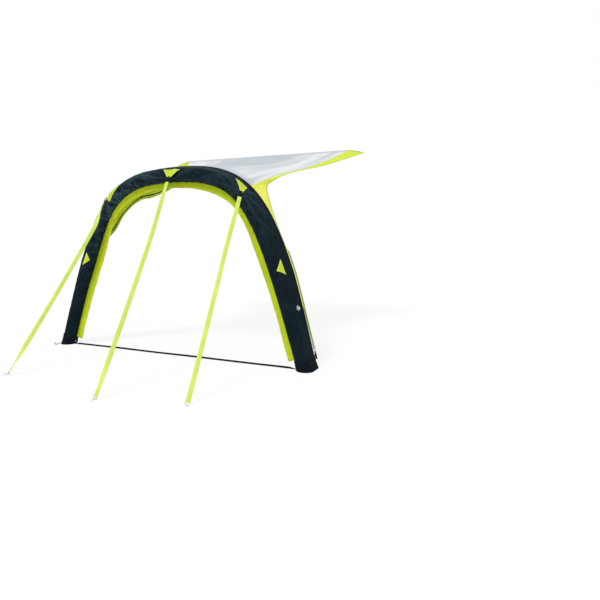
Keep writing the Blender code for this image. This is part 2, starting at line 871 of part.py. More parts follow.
def wing_edges(side):
    """Matching points of a wing's sewn edge and free edge, from the leg to the rail."""
    shares = spread(WING_TAIL_SHARE, SHOULDER_SHARE, LEG_HIGH_STEPS)
    sewn = fin_seam(side, shares)
    seam = roof_seam(side, ROOF_LENGTH_STEPS)
    tip = rail_point(side * (RAIL_HALF_STRAIGHT + RAIL_END_RUN))
    points = [tip]
    points += [ground_point(*row, side) for row in FREE_EDGE_SHARES]
    corner = 1 + SHOULDER_ROW
    strip = [
        Station(share, side).fin_edge(SEAM_GAP + WING_STRIP_WIDTH)
        for share in shares[: WING_STRIP_STEPS + 1]
    ]
    upper = smooth_path([*points[corner:], strip[-1]], LEG_HIGH_STEPS - WING_STRIP_STEPS)
    along_leg = strip[:-1] + upper[::-1]
    fine = smooth_path(points[: corner + 1], FREE_EDGE_FINE_STEPS)[::-1]
    lead = fine[0].y - seam[0].y
    along_roof = []
    for point in seam:
        rest = (seam[-1].y - point.y) / (seam[-1].y - seam[0].y)
        along_roof.append(at_depth(fine, point.y + lead * rest**ROW_TURN_POWER))
    free = along_leg + along_roof[1:]
    moved = [
        point + (away - point).normalized() * SEAM_CORNER_GAP
        for point, away in zip(seam, along_roof)
    ]
    return sewn[:-1] + moved, free


def build_wing(name, hem_name, side):
    """A side wing and the hem along its free edge."""
    sewn, free = wing_edges(side)
    grid = []
    for inner, outer in zip(sewn, free):
        grid.append([inner.lerp(outer, share) for share in spread(0, 1, WING_WIDTH_STEPS)])
    sheet(name, grid, "wing_polyester", CLOTH_THICKNESS)
    rings = []
    count = len(free)
    for k in range(count):
        run = (free[min(k + 1, count - 1)] - free[max(k - 1, 0)]).normalized()
        across = free[k] - sewn[k]
        across = (across - run * across.dot(run)).normalized()
        up = run.cross(across) * (HEM_THICKNESS / 2)
        near = free[k] + across * HEM_GAP
        far = near + across * HEM_WIDTH
        rings.append([near - up, near + up, far + up, far - up])
    add_object(hem_name, solid_loft(hem_name, rings), "lime_polyester")


def build_keder():
    """The keder's tape, folded round its cord, along the rail's line."""
    tip = RAIL_HALF_STRAIGHT + RAIL_END_RUN
    line = [
        Vector((-tip, 0, -RAIL_END_DROP)),
        Vector((-RAIL_HALF_STRAIGHT, 0, 0)),
        Vector((RAIL_HALF_STRAIGHT, 0, 0)),
        Vector((tip, 0, -RAIL_END_DROP)),
    ]
    half = KEDER_TAIL_THICKNESS / 2
    root = math.asin(half / KEDER_RADIUS)
    sweep = spread(root - math.pi, math.pi - root, KEDER_ARC_POINTS - 1)
    outline = [(-KEDER_TAIL, -half)]
    outline += [(KEDER_RADIUS * math.cos(a), KEDER_RADIUS * math.sin(a)) for a in sweep]
    outline.append((-KEDER_TAIL, half))
    count = len(outline)
    bore_turns = [math.pi * (2 * (i + 0.5) / count - 1) for i in range(count)]
    bore = [
        (KEDER_BORE_RADIUS * math.cos(a), KEDER_BORE_RADIUS * math.sin(a))
        for a in bore_turns
    ]

    def ring(place, loop):
        return [place + Vector((0, y, z)) for y, z in loop]

    tape = pipe_loft(
        "keder_tape",
        [ring(place, outline) for place in line],
        [ring(place, bore) for place in line],
    )
    add_object("keder_tape", tape, "black_webbing")
    wire("keder_cord", line, KEDER_CORD_RADIUS, "keder_pvc")


# Tail of a wing

def build_tail(prefix, side):
    """Strap under a wing's tail, the elastic ring in its eye and the boot's tab."""
    half = TAIL_STRAP_THICKNESS / 2

    def boot_clearance(station):
        return BUTT_GAP + FIN_REACH * station.fin * (boot_scale() - 1)

    def band(name, places, material):
        rings = []
        for station, clearance in places:
            rings.append(
                [
                    station.fin_edge(clearance, -half),
                    station.fin_edge(clearance, half),
                    station.fin_edge(clearance + TAIL_STRAP_WIDTH, half),
                    station.fin_edge(clearance + TAIL_STRAP_WIDTH, -half),
                ]
            )
        return add_object(name, solid_loft(name, rings), material)

    top = WING_TAIL_SHARE - SEAM_GAP / Station(WING_TAIL_SHARE, side).speed
    foot = Station(TAIL_STRAP_FOOT_SHARE, side)
    places = []
    for share in spread(TAIL_STRAP_FOOT_SHARE, top, LEG_LOW_STEPS):
        rise = (share - TAIL_STRAP_FOOT_SHARE) / (top - TAIL_STRAP_FOOT_SHARE)
        off = boot_clearance(foot) * (1 - rise) + SEAM_GAP * rise
        places.append((Station(share, side), off))
    strap = band(f"{prefix}_tail_strap", places, "lime_webbing")
    normal = foot.turn(FIN_ANGLE - math.pi / 2)
    slack = TAIL_HOLE_RADIUS - TAIL_RING_WIRE_RADIUS - BUTT_GAP
    step = TAIL_RING_RADIUS + slack
    strap_eye = foot.fin_edge(boot_clearance(foot) + TAIL_STRAP_WIDTH / 2)
    strap_eye += foot.along * TAIL_HOLE_INSET
    ring_centre = strap_eye - foot.along * step
    tab_eye = ring_centre - foot.along * step

    def cut_eye(item, place):
        frame = frame_matrix(foot.along, normal.cross(foot.along), normal, place)
        cutter = add_cutter(
            f"{item.name}_eye",
            cylinder_mesh(
                f"{item.name}_eye", TAIL_HOLE_RADIUS, -CUT_OVERRUN, CUT_OVERRUN,
                EYE_STEPS,
            ),
            frame,
        )
        boolean(item, cutter)

    cut_eye(strap, strap_eye)
    tab_top = TAIL_STRAP_FOOT_SHARE + 2 * (TAIL_HOLE_INSET - step) / foot.speed
    shares = (
        share_at_height(BOOT_WAIST_HEIGHT), share_at_height(BOOT_HEIGHT), tab_top
    )
    stations = [Station(share, side) for share in shares]
    tab = band(
        f"{prefix}_boot_tab",
        [(station, boot_clearance(station)) for station in stations],
        "black_webbing",
    )
    cut_eye(tab, tab_eye)
    turns = [2 * math.pi * i / EYE_STEPS for i in range(EYE_STEPS)]
    ring = [
        ring_centre
        + foot.along * (TAIL_RING_RADIUS * math.cos(a))
        + normal * (TAIL_RING_RADIUS * math.sin(a))
        for a in turns
    ]
    wire(
        f"{prefix}_tail_ring", ring, TAIL_RING_WIRE_RADIUS, "rubber", cyclic=True
    )


# Patches

def build_patch(name, share, side, runs, widths, skew=0, leave=None):
    """A sewn patch that follows the sleeve's skin from a first run to a last one."""
    base = Station(share, side)
    origin = 0 if leave is None else leave

    def grid(lift):
        rows = []
        for k in range(PATCH_ROWS + 1):
            part = k / PATCH_ROWS
            run = runs[0] + (runs[1] - runs[0]) * part
            width = widths[0] + (widths[1] - widths[0]) * part
            row = []
            for j in range(PATCH_COLUMNS + 1):
                offset = skew * (run - origin) + width * (j / PATCH_COLUMNS - 0.5)
                station = Station(share + offset / base.speed, side)
                row.append(station.skin_point(run, leave, lift))
            rows.append(row)
        return rows

    mesh = slab_loft(name, grid(PATCH_LIFT + PATCH_THICKNESS), grid(PATCH_LIFT))
    return add_object(name, mesh, "lime_polyester")


def build_leg_patch(name, side):
    """A triangle on the leg's front, point up, that follows the tube."""
    outer, inner, tip = (Vector(corner) for corner in LEG_PATCH_SHARES[side])

    def grid(lift):
        rows = []
        for k in range(PATCH_ROWS + 1):
            rise = (1 - LEG_PATCH_TIP_SHARE) * k / PATCH_ROWS
            start, end = outer.lerp(tip, rise), inner.lerp(tip, rise)
            row = []
            for j in range(PATCH_ROWS + 1):
                share, run = start.lerp(end, j / PATCH_ROWS)
                station = Station(share, side)
                row.append(station.skin_point(run * TUBE_RADIUS, None, lift))
            rows.append(row)
        return rows

    mesh = slab_loft(name, grid(PATCH_LIFT + PATCH_THICKNESS), grid(PATCH_LIFT))
    add_object(name, mesh, "lime_polyester")


# Guys

class Guy:
    """Where one guy leaves the sleeve, and the frame of its buckle's hinge."""

    def __init__(self, name):
        self.name = name
        crown = name == "crown"
        self.side = -1 if name == "left" else 1
        self.share = GUY_SHARES[name]
        self.rise = CROWN_TAB_RISE if crown else SHOULDER_TAB_RISE
        self.width = CROWN_TAB_WIDTH if crown else SHOULDER_TAB_WIDTH
        past = CROWN_TAB_PAST if crown else SHOULDER_TAB_PAST
        peg_x, peg_y = GUY_PEGS[name]
        anchor = Vector((peg_x, FEET_Y + peg_y, GROUND_Z + RING_REST_HEIGHT))
        station = Station(self.share, self.side)
        start = station.centre
        for _ in range(8):
            pull = (anchor - start).normalized()
            angle = -math.atan(pull.dot(station.out) / pull.dot(station.back))
            normal = station.turn(angle)
            start = station.centre + normal * (TUBE_RADIUS + self.lift())
        self.leave = (angle - station.flank_angle()) * TUBE_RADIUS
        slant = math.sqrt(1 - pull.dot(station.along) ** 2)
        self.skew = -pull.dot(station.along) / slant
        self.tip_run = self.leave - past
        hinge = start + pull * (past / slant + GUY_LOOP_REACH)
        self.length = (anchor - hinge).length
        self.frame = frame_matrix(pull, normal, pull.cross(normal), hinge)
        self.flat = frame_matrix(pull, pull.cross(normal), -normal, hinge)

    @staticmethod
    def lift():
        """Height of the guy's middle plane above the sleeve."""
        return PATCH_LIFT + PATCH_THICKNESS / 2


def eye_outline(first, last, half, first_radius, last_radius):
    """Side view of webbing between two places, with a sewn eye round each."""
    first_out = first_radius + EYE_WALL
    last_out = last_radius + EYE_WALL
    root = math.asin(half / first_out)
    loop = [
        (first + first_out * math.cos(a), first_out * math.sin(a))
        for a in spread(root, 2 * math.pi - root, EYE_STEPS)
    ]
    root = math.asin(half / last_out)
    loop += [
        (last + last_out * math.cos(a), last_out * math.sin(a))
        for a in spread(root - math.pi, math.pi - root, EYE_STEPS)
    ]
    return loop


def build_guy(name):
    """Tab, loop, buckle, webbing, D-ring and peg of one guy."""
    guy = Guy(name)
    build_patch(
        f"{name}_guy_tab", guy.share, guy.side,
        (guy.leave + guy.rise, guy.tip_run), (guy.width, TAB_TIP_WIDTH),
        guy.skew, guy.leave,
    )

    bar_eye = math.hypot(BUCKLE_BAR, BUCKLE_THICKNESS) / 2 + EYE_CLEARANCE
    eye_out = bar_eye + EYE_WALL
    tail = GUY_LOOP_REACH + GUY_LOOP_OVERLAP
    underside = eye_out - GUY_LOOP_TAIL_THICKNESS
    root = math.asin(underside / eye_out)
    outline = [(-tail, eye_out), (-tail, underside)]
    outline += [
        (eye_out * math.cos(a), eye_out * math.sin(a))
        for a in spread(math.pi - root, 2.5 * math.pi, EYE_STEPS)
    ]
    loop = plate_mesh(f"{name}_guy_loop", outline, [circle(bar_eye)], GUY_LOOP_WIDTH)
    add_object(f"{name}_guy_loop", loop, "black_webbing", guy.frame)

    bars = [0, BUCKLE_BAR + BUCKLE_WINDOW, 2 * (BUCKLE_BAR + BUCKLE_WINDOW)]
    half_bar = BUCKLE_BAR / 2
    half_inner = BUCKLE_INNER_WIDTH / 2
    half_outer = half_inner + BUCKLE_SIDE
    windows = [
        rectangle(low + half_bar, -half_inner, high - half_bar, half_inner)
        for low, high in zip(bars, bars[1:])
    ]
    body = rectangle(-half_bar, -half_outer, bars[-1] + half_bar, half_outer)
    buckle = plate_mesh(f"{name}_guy_buckle", body, windows, BUCKLE_THICKNESS)
    add_object(f"{name}_guy_buckle", buckle, "acetal", guy.flat)

    ring_bar = guy.length - D_RING_RADIUS / 2
    ring_eye = D_RING_WIRE_RADIUS + EYE_CLEARANCE
    outline = eye_outline(
        bars[-1], ring_bar, GUY_WEBBING_THICKNESS / 2, bar_eye, ring_eye
    )
    webbing = plate_mesh(
        f"{name}_guy_webbing",
        outline,
        [circle(bar_eye, (bars[-1], 0)), circle(ring_eye, (ring_bar, 0))],
        GUY_WEBBING_WIDTH,
    )
    add_object(f"{name}_guy_webbing", webbing, "lime_webbing", guy.frame)

    bend = [
        (
            ring_bar + D_RING_RADIUS * math.sin(a),
            0,
            -D_RING_RADIUS * math.cos(a),
        )
        for a in spread(0, math.pi, D_RING_STEPS)
    ]
    wire(
        f"{name}_guy_ring", bend, D_RING_WIRE_RADIUS, "zinc_steel", guy.frame,
        cyclic=True,
    )

    inside = D_RING_RADIUS - D_RING_WIRE_RADIUS - PEG_RADIUS - BUTT_GAP
    peg = peg_points(ring_bar + inside, PEG_HOOK_RISE, PEG_LENGTH)
    wire(
        f"{name}_guy_peg", peg, PEG_RADIUS, "zinc_steel", guy.frame,
        tip_share=PEG_POINT_SHARE,
    )


def peg_points(across, rise, length):
    """A peg in a frame whose X leads away from the pull and whose Y leads up the shaft."""
    hook = [
        (
            across + PEG_HOOK_RADIUS * (1 + math.cos(a)),
            rise + PEG_HOOK_RADIUS * math.sin(a),
            0,
        )
        for a in spread(0, math.pi, PEG_HOOK_STEPS)
    ]
    first = (across + 2 * PEG_HOOK_RADIUS, rise - PEG_HOOK_RETURN, 0)
    shaft = [(across, PEG_POINT_LENGTH - length, 0), (across, -length, 0)]
    return [first, *hook, *shaft]


# Feet

def build_boot_peg(prefix, side, back_sign, out_sign):
    """A peg beside a boot, and the elastic loop sewn to the boot's wall."""
    angle = math.atan2(back_sign * BOOT_PEG_BACK, out_sign * BOOT_PEG_OUT)
    start = boot_point(side, angle, BOOT_LOOP_HEIGHT, BOOT_LOOP_GAP)
    peg_top = Vector(
        (
            side * (FOOT_HALF_SPACING + out_sign * BOOT_PEG_OUT),
            FEET_Y + back_sign * BOOT_PEG_BACK,
            GROUND_Z,
        )
    )
    end = peg_top + Z_AXIS * BOOT_LOOP_PEG_HEIGHT
    run = (end - start).normalized()
    level = Vector((run.x, run.y, 0)).normalized()
    sideways = level.cross(Z_AXIS)
    bend = PEG_RADIUS + BOOT_LOOP_RADIUS + BUTT_GAP
    loop = [start + sideways * bend]
    for a in spread(-math.pi / 2, math.pi / 2, BOOT_LOOP_STEPS):
        loop.append(end + level * (bend * math.cos(a)) - sideways * (bend * math.sin(a)))
    loop.append(start - sideways * bend)
    wire(f"{prefix}_boot_loop", loop, BOOT_LOOP_RADIUS, "rubber")
    frame = frame_matrix(level, Z_AXIS, level.cross(Z_AXIS), peg_top)
    points = peg_points(0, PEG_HOOK_RISE, BOOT_PEG_LENGTH)
    wire(
        f"{prefix}_boot_peg", points, PEG_RADIUS, "zinc_steel", frame,
        tip_share=PEG_POINT_SHARE,
    )


def build_ground_strap():
    """The webbing that ties the boots together, turned up against their inner walls."""
    surface = boot_point(1, math.pi, 0, 0)
    rise = boot_point(1, math.pi, GROUND_STRAP_TURN_UP, 0) - surface
    along = Vector((rise.x, 0, rise.z)).normalized()
    inward = Vector((-along.z, 0, along.x))
    level = GROUND_Z + GROUND_STRAP_LIFT

    def wall_point(gap, height):
        point = surface + inward * gap
        return point - along * ((point.z - height) / along.z)

    outer = wall_point(GROUND_STRAP_GAP, level)
    inner = wall_point(
        GROUND_STRAP_GAP + GROUND_STRAP_THICKNESS, level + GROUND_STRAP_THICKNESS
    )
    outer_top = outer + along * GROUND_STRAP_TURN_UP
    inner_top = outer_top + inward * GROUND_STRAP_THICKNESS
    half_outline = [(p.x, p.z) for p in (outer, outer_top, inner_top, inner)]
    mirrored = [(-x, z) for x, z in half_outline[::-1]]
    strap = plate_mesh(
        "ground_strap", half_outline + mirrored, [], GROUND_STRAP_WIDTH
    )
    place = frame_matrix(X_AXIS, Z_AXIS, -Y_AXIS, Vector((0, FEET_Y, 0)))
    add_object("ground_strap", strap, "black_webbing", place)

    face = outer.lerp(outer_top, 2 / 3) + inward * (GROUND_STRAP_THICKNESS + BUTT_GAP)
    profile = [
        (EYELET_INNER_RADIUS, 0),
        (EYELET_OUTER_RADIUS, 0),
        (EYELET_OUTER_RADIUS, EYELET_THICKNESS / 2),
        ((EYELET_INNER_RADIUS + EYELET_OUTER_RADIUS) / 2, EYELET_THICKNESS),
        (EYELET_INNER_RADIUS, EYELET_THICKNESS / 2),
    ]
    for prefix, side in (("left", -1), ("right", 1)):
        name = f"{prefix}_strap_eyelet"
        normal = Vector((side * inward.x, 0, inward.z))
        run = Vector((side * along.x, 0, along.z))
        origin = Vector((side * face.x, FEET_Y, face.z))
        frame = frame_matrix(run, normal.cross(run), normal, origin)
        add_object(name, turned_mesh(name, profile, True), "zinc_steel", frame)


# Valve

def valve_frame():
    """The valve's frame: Z out of the flank's cloth, X up the leg, origin on the cloth."""
    station = Station(VALVE_SHARE, 1)
    normal = station.turn(station.flank_angle())
    origin = station.skin_point(VALVE_RUN)
    up = station.along
    return frame_matrix(up, normal.cross(up), normal, origin)


def build_valve():
    """Valve body with its hinge lugs, rubber diaphragm, plunger and hinged cap."""
    frame = valve_frame()
    flange_low = BUTT_GAP
    flange_top = flange_low + VALVE_FLANGE_THICKNESS
    collar_top = flange_low + VALVE_COLLAR_HEIGHT
    seat_top = -VALVE_SEAT_DEPTH
    seat_low = seat_top - VALVE_SEAT_THICKNESS
    profile = [
        (VALVE_SEAT_RADIUS, seat_low),
        (VALVE_BORE_RADIUS, seat_low),
        (VALVE_BORE_RADIUS, -VALVE_BARREL_DEPTH),
        (VALVE_BARREL_RADIUS, -VALVE_BARREL_DEPTH),
        (VALVE_BARREL_RADIUS, flange_low),
        (VALVE_FLANGE_RADIUS, flange_low),
        (VALVE_FLANGE_RADIUS, flange_top),
        (VALVE_COLLAR_RADIUS, flange_top),
        (VALVE_COLLAR_RADIUS, collar_top),
        (VALVE_BORE_RADIUS, collar_top),
        (VALVE_BORE_RADIUS, seat_top),
        (VALVE_SEAT_RADIUS, seat_top),
    ]
    body = add_object(
        "valve_body", turned_mesh("valve_body", profile, True), "valve_nylon", frame
    )
    lug_near = VALVE_FLANGE_RADIUS - CAP_FIT * 2
    lug_far = CAP_HINGE_REACH + CAP_KNUCKLE_RADIUS / 2
    lug_top = CAP_HINGE_HEIGHT + CAP_KNUCKLE_RADIUS / 2
    for sign, label in ((-1, "low"), (1, "high")):
        inner = sign * (CAP_KNUCKLE_WIDTH / 2 + CAP_FIT)
        outer = sign * (CAP_KNUCKLE_WIDTH / 2 + CAP_FIT + CAP_LUG_WIDTH)
        lug = add_cutter(
            f"valve_lug_{label}",
            box_mesh(
                f"valve_lug_{label}",
                (lug_near, min(inner, outer), flange_low),
                (lug_far, max(inner, outer), lug_top),
            ),
            frame,
        )
        boolean(body, lug, "UNION")
    pin_half = CAP_KNUCKLE_WIDTH / 2 + CAP_FIT + CAP_LUG_WIDTH / 2
    across = frame @ frame_matrix(
        X_AXIS, Z_AXIS, -Y_AXIS, Vector((CAP_HINGE_REACH, 0, CAP_HINGE_HEIGHT))
    )
    pin = add_cutter(
        "valve_pin",
        cylinder_mesh("valve_pin", CAP_PIN_RADIUS, -pin_half, pin_half, EYE_STEPS),
        across,
    )
    boolean(body, pin, "UNION")

    diaphragm = [
        (PLUNGER_STEM_RADIUS + VALVE_FIT, seat_top + BUTT_GAP),
        (VALVE_BORE_RADIUS - VALVE_FIT, seat_top + BUTT_GAP),
        (VALVE_BORE_RADIUS - VALVE_FIT, seat_top + BUTT_GAP + DIAPHRAGM_THICKNESS),
        (PLUNGER_STEM_RADIUS + VALVE_FIT, seat_top + BUTT_GAP + DIAPHRAGM_THICKNESS),
    ]
    add_object(
        "valve_diaphragm", turned_mesh("valve_diaphragm", diaphragm, True), "rubber",
        frame,
    )

    head_top = seat_low - BUTT_GAP
    head_low = head_top - PLUNGER_HEAD_THICKNESS
    button_top = collar_top - CAP_FIT
    button_low = button_top - PLUNGER_BUTTON_THICKNESS
    plunger = [
        (0, head_low),
        (PLUNGER_HEAD_RADIUS, head_low),
        (PLUNGER_HEAD_RADIUS, head_top),
        (PLUNGER_STEM_RADIUS, head_top),
        (PLUNGER_STEM_RADIUS, button_low),
        (PLUNGER_BUTTON_RADIUS, button_low),
        (PLUNGER_BUTTON_RADIUS, button_top),
        (0, button_top),
    ]
    add_object(
        "valve_plunger", turned_mesh("valve_plunger", plunger, False), "acetal", frame
    )

    skirt_inner = VALVE_COLLAR_RADIUS + CAP_FIT
    skirt_outer = skirt_inner + CAP_WALL
    cap_low = flange_top + BUTT_GAP
    cap_top = cap_low + CAP_HEIGHT
    roof = cap_top - CAP_WALL
    shell = [
        (0, roof),
        (skirt_inner, roof),
        (skirt_inner, cap_low),
        (skirt_outer, cap_low),
        (skirt_outer, cap_top - CAP_WALL / 2),
        (skirt_outer - CAP_WALL / 2, cap_top),
        (0, cap_top),
    ]
    hinge = frame @ Matrix.Translation((CAP_HINGE_REACH, 0, CAP_HINGE_HEIGHT))
    mesh = turned_mesh("valve_cap", shell, False)
    mesh.transform(Matrix.Translation((-CAP_HINGE_REACH, 0, -CAP_HINGE_HEIGHT)))
    cap = add_object("valve_cap", mesh, "valve_nylon", hinge)
    half = CAP_KNUCKLE_WIDTH / 2
    knuckle = add_cutter(
        "cap_knuckle",
        cylinder_mesh("cap_knuckle", CAP_KNUCKLE_RADIUS, -half, half, EYE_STEPS),
        across,
    )
    web = add_cutter(
        "cap_web",
        box_mesh(
            "cap_web",
            (skirt_inner + CAP_WALL / 2, -half, CAP_HINGE_HEIGHT),
            (CAP_HINGE_REACH, half, CAP_HINGE_HEIGHT + CAP_KNUCKLE_RADIUS),
        ),
        frame,
    )
    pin_bore = add_cutter(
        "cap_pin_bore",
        cylinder_mesh(
            "cap_pin_bore", CAP_PIN_RADIUS + VALVE_FIT, -half - CUT_OVERRUN,
            half + CUT_OVERRUN, EYE_STEPS,
        ),
        across,
    )
    boolean(cap, knuckle, "UNION")
    boolean(cap, web, "UNION")
    boolean(cap, pin_bore)


MATERIALS = start_scene()
build_arch()
build_boot("left_boot", -1)
build_boot("right_boot", 1)
build_roof()
build_wing("left_wing", "left_wing_hem", -1)
build_wing("right_wing", "right_wing_hem", 1)
build_keder()
build_tail("left", -1)
build_tail("right", 1)
build_leg_patch("left_leg_patch", -1)
build_leg_patch("right_leg_patch", 1)
for guy_name in GUY_PEGS:
    build_guy(guy_name)
build_boot_peg("left", -1, -1, 1)
build_boot_peg("right", 1, 1, -1)
build_ground_strap()
build_valve()
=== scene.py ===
"""Looks of an inflatable caravan awning, pitched: an air-beam arch in a dark polyester sleeve,
its lime flap, the silver roof sheet, the side wings, three guys and the fittings at the feet.

Metres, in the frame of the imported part: the origin is the middle of the keder's bead, X runs
along the caravan's wall, -Y leads away from it, and the ground lies RAIL_HEIGHT below.
"""

from functools import partial
from math import (
    acos, asin, atan, atan2, cos, dist, exp, hypot, inf, pi, radians, sin, sqrt,
)

import bmesh
import bpy
import numpy as np
from mathutils import Matrix, Vector, noise


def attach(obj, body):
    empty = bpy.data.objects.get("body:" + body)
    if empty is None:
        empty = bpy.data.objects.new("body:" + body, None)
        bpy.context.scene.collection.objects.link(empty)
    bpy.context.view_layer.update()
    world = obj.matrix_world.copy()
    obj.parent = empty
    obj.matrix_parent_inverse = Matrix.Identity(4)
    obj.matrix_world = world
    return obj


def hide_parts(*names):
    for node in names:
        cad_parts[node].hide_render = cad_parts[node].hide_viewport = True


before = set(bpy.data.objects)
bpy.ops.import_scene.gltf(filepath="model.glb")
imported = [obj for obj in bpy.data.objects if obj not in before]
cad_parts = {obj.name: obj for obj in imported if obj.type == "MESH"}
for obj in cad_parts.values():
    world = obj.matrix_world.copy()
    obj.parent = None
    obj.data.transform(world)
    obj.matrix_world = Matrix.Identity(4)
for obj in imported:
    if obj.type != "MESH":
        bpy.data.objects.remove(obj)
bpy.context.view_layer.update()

# Place of the rail and of the feet
RAIL_HEIGHT = 2.316
RAIL_DEPTH = 2.217
RAIL_HALF = 1.239
RAIL_END_RUN = 0.188
RAIL_END_DROP = 0.041
GROUND_Z = -RAIL_HEIGHT
FEET_Y = -RAIL_DEPTH

# The arch's centreline and its tear-drop section
FOOT_HALF = 1.425
ARCH_RISE = 1.7975
LEG_HANDLE_IN = 0.49
LEG_HANDLE_UP = 1.5354
CROWN_HANDLE = 0.807
CROWN_SETBACK = 0.1141
SLEEVE_FOOT_HEIGHT = 0.035
TUBE_RADIUS = 0.0745
FIN_OUT = 0.1126
FIN_BACK = 0.1281
FIN_FULL_HEIGHT = 0.84
FIN_FOOT_SHARE = 0.74
SHOULDER_SHARE = 0.6
WING_TAIL_SHARE = 0.128
LEAN = asin(CROWN_SETBACK / ARCH_RISE)
FIN_REACH = hypot(FIN_OUT, FIN_BACK)
FIN_ANGLE = atan2(FIN_BACK, FIN_OUT)

# Lime flap: share of the arch, the tip's place inwards and backwards as shares of
# TUBE_RADIUS, and how far the root turns to the back as a share of a right angle
FLAP_SHARES = (
    (0.0, 1.92, 0.21, 0.08),
    (0.13, 1.88, 0.40, 0.11),
    (0.27, 2.04, 0.48, 0.30),
    (0.52, 1.60, 0.12, 0.03),
    (0.75, 1.76, 0.16, 0.07),
    (1.0, 1.60, 0.15, 0.14),
)

# Cloth, bindings (width, thickness) and tape
SLEEVE_WALL = 0.0008
CLOTH_WALL = 0.0007
BLADDER_RADIUS = 0.064
CREASE_DEPTH = 0.0085
# The depth of fold at which the painted highlight on a ridge shows in full
RIDGE_HIGHLIGHT_DEPTH = 0.006
FLAP_BINDING = (0.009, 0.0028)
BOOT_BINDING = (0.012, 0.0014)
WING_TAPE = (0.012, 0.0008)
TAPE_INSET = 0.02
TAPE_LEAST_WIDTH = 0.08
SEAM_GAP = 0.0009
SEAM_CORNER_GAP = 0.0024
SEAM_TUCK = 0.003
ROOF_FOLD_DEPTH = 0.012
ROOF_FOLD_COUNT = 5
ROOF_SEAM_SHARES = (
    (0.541, 0.271, 0.767), (0.545, 0.451, 0.812), (0.625, 0.654, 0.864), (0.721, 0.812, 0.918),
)
# A wing's free edge, and how much lower the left wing hangs there
FREE_EDGE_SHARES = (
    (0.891, 0.880, 0.938, 0.0),
    (0.731, 0.722, 0.880, 0.02),
    (0.611, 0.564, 0.839, 0.05),
    (0.575, 0.406, 0.798, 0.062),
    (0.547, 0.316, 0.765, 0.05),
    (0.553, 0.262, 0.738, 0.034),
    (0.588, 0.221, 0.700, 0.025),
    (0.619, 0.201, 0.665, 0.017),
    (0.652, 0.180, 0.629, 0.016),
    (0.717, 0.153, 0.555, 0.016),
)
SHOULDER_ROW = 7
# Steps of a wing's edges beside the leg and beside the roof
LEG_STEPS = 132
ROOF_STEPS = 108
TURN_POWER = 6
STRIP_SHARE = 1 / 3
STRIP_WIDTH = 0.006
HEM_WIDTH = 0.012
HEM_LAP = 0.003
HEM_THICKNESS = 0.0026
HEM_GAP = 0.0012

# Boots
BOOT_HEIGHT = 0.1
BOOT_WALL = 0.0025
BOOT_GAP = 0.0008
BOOT_WAIST_HEIGHT = 0.06
BOOT_FLARE_SHARE = 1.05
BOOT_SCALE = (TUBE_RADIUS + BOOT_GAP + BOOT_WALL) / TUBE_RADIUS
# Round a boot, for its UV map
BOOT_GIRTH = 0.58

# Keder
KEDER_RADIUS = 0.0037
KEDER_TAIL = 0.014
KEDER_TAIL_WALL = 0.0014

# Tails of the wings
TAIL_STRAP_WIDTH = 0.018
TAIL_STRAP_FOOT_SHARE = 0.034
TAIL_HOLE_INSET = 0.008
TAIL_HOLES_APART = 0.0402
BUTT_GAP = 0.0004
# Eyelets: inner and outer radius and height of the flange, and its place off the middle
EYELET = (0.0046, 0.0072, 0.0007)
EYELET_OFF = 0.0011

# Sewn patches. The guys' tabs: width of the base, how far round the sleeve it lies
# above the guy's start, and how far the tip lies past it
PATCH_LIFT = 0.0009
PATCH_THICKNESS = 0.0024
PATCH_WALL = 0.0012
SHOULDER_TAB = (0.15, 0.12, 0.015)
CROWN_TAB = (0.19, 0.01, 0.108)
TAB_TIP_WIDTH = 0.024
# Outer, inner and upper corner of the leg patches: share of the arch, and run round the
# sleeve as a share of TUBE_RADIUS
LEG_PATCH_SHARES = {
    -1: ((0.2364, -1.267), (0.2616, -2.14), (0.288, -1.389)),
    1: ((0.2168, 0.35), (0.2336, -0.901), (0.2664, 0.22)),
}
LEG_PATCH_TIP_SHARE = 0.09
# The left guy's tab is pulled round to the front: its corners in the same way
LEFT_TAB_SHARES = ((0.566, 0.2), (0.674, -0.7), (0.559, -1.62))
LEFT_TAB_RISE = 0.007

# Guys: share of the arch, the ring's place on the ground from the feet's middle, how far
# the webbing turns round between its ends, how far it bows to the right, and by what share
# of its length
GUY_ROWS = {
    "left": (0.565, -0.948, -1.049, -1.35, 0.06, 0.17),
    "crown": (0.99, 0.217, -1.225, -0.76, 0.024, 0.35),
    "right": (0.57, 0.921, -1.076, -0.07, -0.018, 0.35),
}
GUY_SAG = 0.022
RING_REST_HEIGHT = 0.016
LOOP_REACH = 0.032
LOOP_OVERLAP = 0.018
LOOP_WIDTH = 0.028
LOOP_THICKNESS = 0.0014
WEBBING_WIDTH = 0.035
WEBBING_THICKNESS = 0.0016
# The webbing's folded ends: stations, distance off the middle and thickness
FOLD_RUNS = (0.055, 0.03, 0.009)
FOLD_OFF = 0.0016
FOLD_THICKNESS = 0.0012
BUCKLE_BAR = 0.004
BUCKLE_THICKNESS = 0.0035
BUCKLE_WINDOW = 0.0065
EYE_CLEARANCE = 0.0006
EYE_WALL = 0.0016
D_RING_RADIUS = 0.0207
RING_WIRE_RADIUS = 0.002

# Ground strap
STRAP_WIDTH = 0.02
STRAP_THICKNESS = 0.002
STRAP_LIFT = 0.0006
STRAP_TURN_UP = 0.045
STRAP_GAP = 0.0012

# Valve
VALVE_SHARE = 0.128
VALVE_RUN = 0.045
VALVE_PATCH_RADIUS = 0.0205
VALVE_PATCH_WIDTH = 0.016

ROOT_BODY = "awning"
X_AXIS = Vector((1, 0, 0))
Y_AXIS = Vector((0, 1, 0))
Z_AXIS = Vector((0, 0, 1))


# The arch's geometry, as in the part

